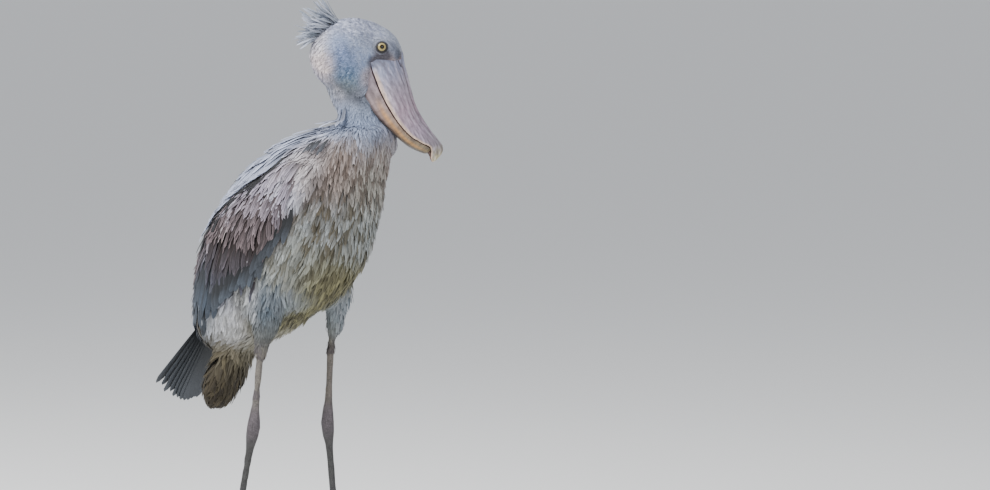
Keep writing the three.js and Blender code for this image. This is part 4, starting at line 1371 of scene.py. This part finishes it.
# Horn: layered keratin with dark and pale blotches drawn out along the bill, and a dull wax-like gloss
def horn(name, roughness):
    made, tree = new_material(name)
    flat = add_node(tree, "ShaderNodeUVMap", {"uv_map": "horn"})
    drawn = add_node(tree, "ShaderNodeMapping", {"Scale": (0.35, 1.0, 1.0)}, {"Vector": flat.outputs[0]})
    blots = add_node(
        tree,
        "ShaderNodeTexNoise",
        {"Scale": 1 / (HORN_BLOT * MAP_UNIT), "Detail": 5, "Roughness": 0.65},
        {"Vector": drawn.outputs[0]},
    )
    shade = add_node(
        tree,
        "ShaderNodeMapRange",
        {"From Min": 0.34, "From Max": 0.64, "To Min": 0.58, "To Max": 1.16},
        {"Value": blots.outputs[0]},
    )
    lines = add_node(
        tree,
        "ShaderNodeTexNoise",
        {"Scale": 1 / (HORN_LINE * MAP_UNIT), "Detail": 3, "Roughness": 0.6},
        {"Vector": drawn.outputs[0]},
    )
    colour = scaled_tint(tree, shade)
    bump = add_node(
        tree,
        "ShaderNodeBump",
        {"Strength": 0.3, "Distance": 0.3 * MM},
        {"Height": lines.outputs[0]},
    )
    shader = add_node(
        tree,
        "ShaderNodeBsdfPrincipled",
        {"Roughness": roughness, "Specular IOR Level": 0.45},
        {"Base Color": colour.outputs[0], "Normal": bump.outputs[0]},
    )
    finish_material(tree, shader)
    return made


bill_horn = horn("bill_horn", 0.42)
upper = warped_grid("bill_upper_horn", 190, 120, upper_bill)
upper.data.materials.append(bill_horn)
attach(upper, "root")
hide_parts("bill_upper")

# Lower bill
# The flatter half under the hook, of the same horn over bone: grey-pink above, with an orange band along its
# side and painted shade along its lower edge. Its root is sunk into the jowl, and its edge closes inside the
# upper half's.
LOWER_FROM = -16
LOWER_LENGTH = 211
EDGE_GAP = 1.6  # the dark slit of the mouth
# along the bill; the lower edge's height; half-width
LOWER_ROWS = np.array(
    [
        (-16, -50, 36), (-6, -58, 41), (28, -72, 45), (60, -74, 47.5), (94, -68, 47.5), (129, -55, 43.5),
        (152, -46, 37), (164, -40.5, 32), (176, -32.5, 25), (187, -23, 17), (195, -15, 8),
    ],
    float,
)
# The section from the edge to the keel, as shares of the half-width and the depth
LOWER_SECTION = np.array([(1, 0), (0.985, 0.3), (0.93, 0.58), (0.8, 0.8), (0.55, 0.95), (0.25, 1), (0, 1)])


def lower_bill(u, v):
    """The lower half: `u` runs along it and `v` over its outer side and back along the mouth's floor."""
    t = LOWER_FROM + LOWER_LENGTH * (1 - (1 - u) ** 1.1)
    bottom = curve(t, LOWER_ROWS[:, 0], LOWER_ROWS[:, 1])
    half = curve(t, LOWER_ROWS[:, 0], LOWER_ROWS[:, 2]) * 0.975
    rim = curve(t, np.append(MOUTH_LINE[:, 0], 200), np.append(MOUTH_LINE[:, 1], 4)) - EDGE_GAP
    under, around = section_share(v)
    q = np.abs(around)
    stops = np.linspace(0, 1, len(LOWER_SECTION))
    wide = np.where(under, curve(1 - q, stops, LOWER_SECTION[:, 0]), q)
    low = np.where(under, curve(1 - q, stops, LOWER_SECTION[:, 1]), 0)
    d = rim + (bottom - rim) * low - np.where(under, 0, 4 * (1 - q**4))
    side = np.sign(around) * half * wide
    close = np.where((u < 0.001) | (u > 0.999), 0.0, np.minimum(1, (1 - u) / 0.03) ** 0.5)
    middle = 0.5 * (bottom + rim)
    side = side * close
    d = middle + (d - middle) * close
    colours = between(
        t,
        [LOWER_FROM, 30, 80, 130, 170, 195],
        ["736c74", "877a80", "8d7a76", "8a7360", "7c6d57", "6d644f"],
    )
    streak = drawn_out(t, side, d)
    colours = blend(colours, "4f4446", 0.5 * np.clip(streak, 0, 1))
    centre = np.interp(t, [60, 88, 171], [0.3, 0.4, 0.56])
    band = np.exp(-(((low - centre) / 0.15) ** 2))
    band = band * np.clip((t - 55) / 40, 0, 1) * np.clip((192 - t) / 25, 0, 1)
    colours = blend(colours, "c48f4c", 0.62 * band * under)
    # Painted shade along the lower edge.
    colours = blend(colours, "3d3735", 0.8 * np.clip((low - 0.7) / 0.2, 0, 1) * under)
    colours = blend(colours, "5a3f3d", 0.8 * (~under))
    return from_bill(t, side, d), colours, horn_map(t, side, d)


lower = warped_grid("bill_lower_horn", 160, 90, lower_bill)
lower.data.materials.append(bill_horn)
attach(lower, "root")
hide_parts("bill_lower")

# Eyes
# Wet eyeballs, 25 mm wide, that sit in the lids' sockets, with a pale yellow iris of about 15 mm round a
# small black pupil.
PUPIL = 16.5  # degrees from the eye's axis
IRIS = 38.0
CORNEA = 0.7  # how far the clear front stands out


# Wet eye: the iris and pupil under a clear film of tears
def eye_glass():
    made, tree = new_material("wet_eye")
    tint = add_node(tree, "ShaderNodeAttribute", {"attribute_name": "tint"})
    shader = add_node(
        tree,
        "ShaderNodeBsdfPrincipled",
        {"Roughness": 0.12, "Specular IOR Level": 0.2, "Coat Weight": 0.1, "Coat Roughness": 0.03},
        {"Base Color": tint.outputs["Color"]},
    )
    finish_material(tree, shader)
    return made


wet_eye = eye_glass()
for name, (at, axis) in zip(("eye_right", "eye_left"), eye_frames()):
    body = bmesh.new()
    bmesh.ops.create_uvsphere(body, u_segments=120, v_segments=110, radius=1)
    mesh = bpy.data.meshes.new(name)
    body.to_mesh(mesh)
    body.free()
    ball = unit(numbers(mesh))
    degrees = np.degrees(np.arccos(ball[:, 2].clip(-1, 1)))
    round_way = np.arctan2(ball[:, 1], ball[:, 0])
    rays = 0.25 * np.sin(round_way * 37 + 2 * np.sin(round_way * 11)) + 0.25 * np.sin(round_way * 61)
    tints = between(
        degrees,
        [0, PUPIL - 0.6, PUPIL + 0.6, 18, 26, 34, IRIS - 1, IRIS + 2, 180],
        ["020202", "020202", "453820", "806d3c", "9d9064", "8f8358", "594f34", "1d1918", "181516"],
    )
    in_iris = ((degrees > PUPIL + 1) & (degrees < IRIS - 1))[:, None]
    tints = tints * np.where(in_iris, 0.95 + 0.3 * rays[:, None], 1)
    radius = EYE_RADIUS + CORNEA * np.exp(-((degrees / 28) ** 2))
    outward = Vector(turned(axis[None], HEAD_TURN)[0])
    eye_turn = np.array(outward.to_track_quat("Z", "Y").to_matrix())
    places = (ball * radius[:, None]) @ eye_turn.T + from_head(at[None])
    place_vertices(mesh, places * MM)
    set_tint(mesh, tints)
    mesh.shade_smooth()
    eye = new_piece(f"{name}_ball", mesh)
    mesh.materials.append(wet_eye)
    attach(eye, "root")
    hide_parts(name)

# Claws
# Curved dark horn nails over the ends of the toes' bones, smoothed from the solids. The toes' skin reaches
# over their roots.

# Claw horn: nearly black and smooth, with a faint mottle and a satin gloss
claw_horn, tree = new_material("claw_horn")
place = add_node(tree, "ShaderNodeTexCoord")
grain = add_node(
    tree,
    "ShaderNodeTexNoise",
    {"Scale": 1 / (4 * MM), "Detail": 3, "Roughness": 0.5},
    {"Vector": place.outputs["Object"]},
)
dark, light = [(*linear(code), 1) for code in ("2b282a", "4a4446")]
colour = add_node(tree, "ShaderNodeMix", {"data_type": "RGBA", 6: dark, 7: light}, {0: grain.outputs[0]})
shader = add_node(
    tree,
    "ShaderNodeBsdfPrincipled",
    {"Roughness": 0.35, "Specular IOR Level": 0.5},
    {"Base Color": colour.outputs[2]},
)
finish_material(tree, shader)
for side_name in ("right", "left"):
    for toe in ("middle", "inner", "outer", "hind"):
        name = f"claw_{toe}_{side_name}"
        body = bmesh.new()
        body.from_mesh(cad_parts[name].data)
        bmesh.ops.remove_doubles(body, verts=body.verts, dist=WELD)
        bmesh.ops.subdivide_edges(body, edges=body.edges, cuts=1, use_grid_fill=True)
        bmesh.ops.smooth_vert(
            body, verts=body.verts, factor=0.4, use_axis_x=True, use_axis_y=True, use_axis_z=True
        )
        mesh = bpy.data.meshes.new(f"{name}_horn")
        body.to_mesh(mesh)
        body.free()
        mesh.shade_smooth()
        mesh.materials.clear()
        mesh.materials.append(claw_horn)
        claw = new_piece(f"{name}_horn", mesh)
        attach(claw, "root")
        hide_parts(name)

# Floor, lights and camera
# A plain pale studio floor that runs to the horizon, with a large soft light above the bird's near side and
# a weaker one from the front. The camera stands where the photo was taken from, with a long lens.
CAMERA_AT = (5.1286, -7.3586, 1.1160)
CAMERA_AIM = (0.2992, 0.2263, 0.5666)
LENS = 175
FLOOR_SIZE = 400

# Studio floor: matt warm-white paint
floor_shape = bmesh.new()
bmesh.ops.create_grid(floor_shape, x_segments=1, y_segments=1, size=FLOOR_SIZE / 2)
floor_mesh = bpy.data.meshes.new("floor")
floor_shape.to_mesh(floor_mesh)
floor_shape.free()
floor_paint, tree = new_material("pale_studio_floor")
paint = {"Base Color": (0.86, 0.86, 0.84, 1.0), "Roughness": 0.9}
finish_material(tree, add_node(tree, "ShaderNodeBsdfPrincipled", paint))
floor_mesh.materials.append(floor_paint)
floor = new_piece("floor", floor_mesh)


def aimed(thing, at, aim):
    """Puts a camera or light at a place and turns it towards another."""
    thing.location = at
    thing.rotation_euler = (Vector(aim) - Vector(at)).to_track_quat("-Z", "Y").to_euler()


camera = bpy.data.objects.new("camera", bpy.data.cameras.new("camera"))
bpy.context.scene.collection.objects.link(camera)
camera.data.lens = LENS
camera.data.clip_end = 1000
aimed(camera, CAMERA_AT, CAMERA_AIM)
bpy.context.scene.camera = camera

sky = bpy.data.worlds.new("studio")
sky.use_nodes = True
backdrop = sky.node_tree.nodes["Background"].inputs
backdrop["Color"].default_value = (0.9, 0.93, 1.0, 1.0)
backdrop["Strength"].default_value = 0.7
bpy.context.scene.world = sky

BIRD_MIDDLE = (0, 0, 0.6)


def soft_light(name, at, size, power):
    """A round soft light that faces the bird's middle."""
    lamp = bpy.data.objects.new(name, bpy.data.lights.new(name, "AREA"))
    lamp.data.shape = "DISK"
    lamp.data.size = size
    lamp.data.energy = power
    aimed(lamp, at, BIRD_MIDDLE)
    bpy.context.scene.collection.objects.link(lamp)


soft_light("key", (-0.9, -2.4, 3.6), 2.2, 270)
soft_light("fill", (3.4, -2.4, 1.8), 2.4, 95)
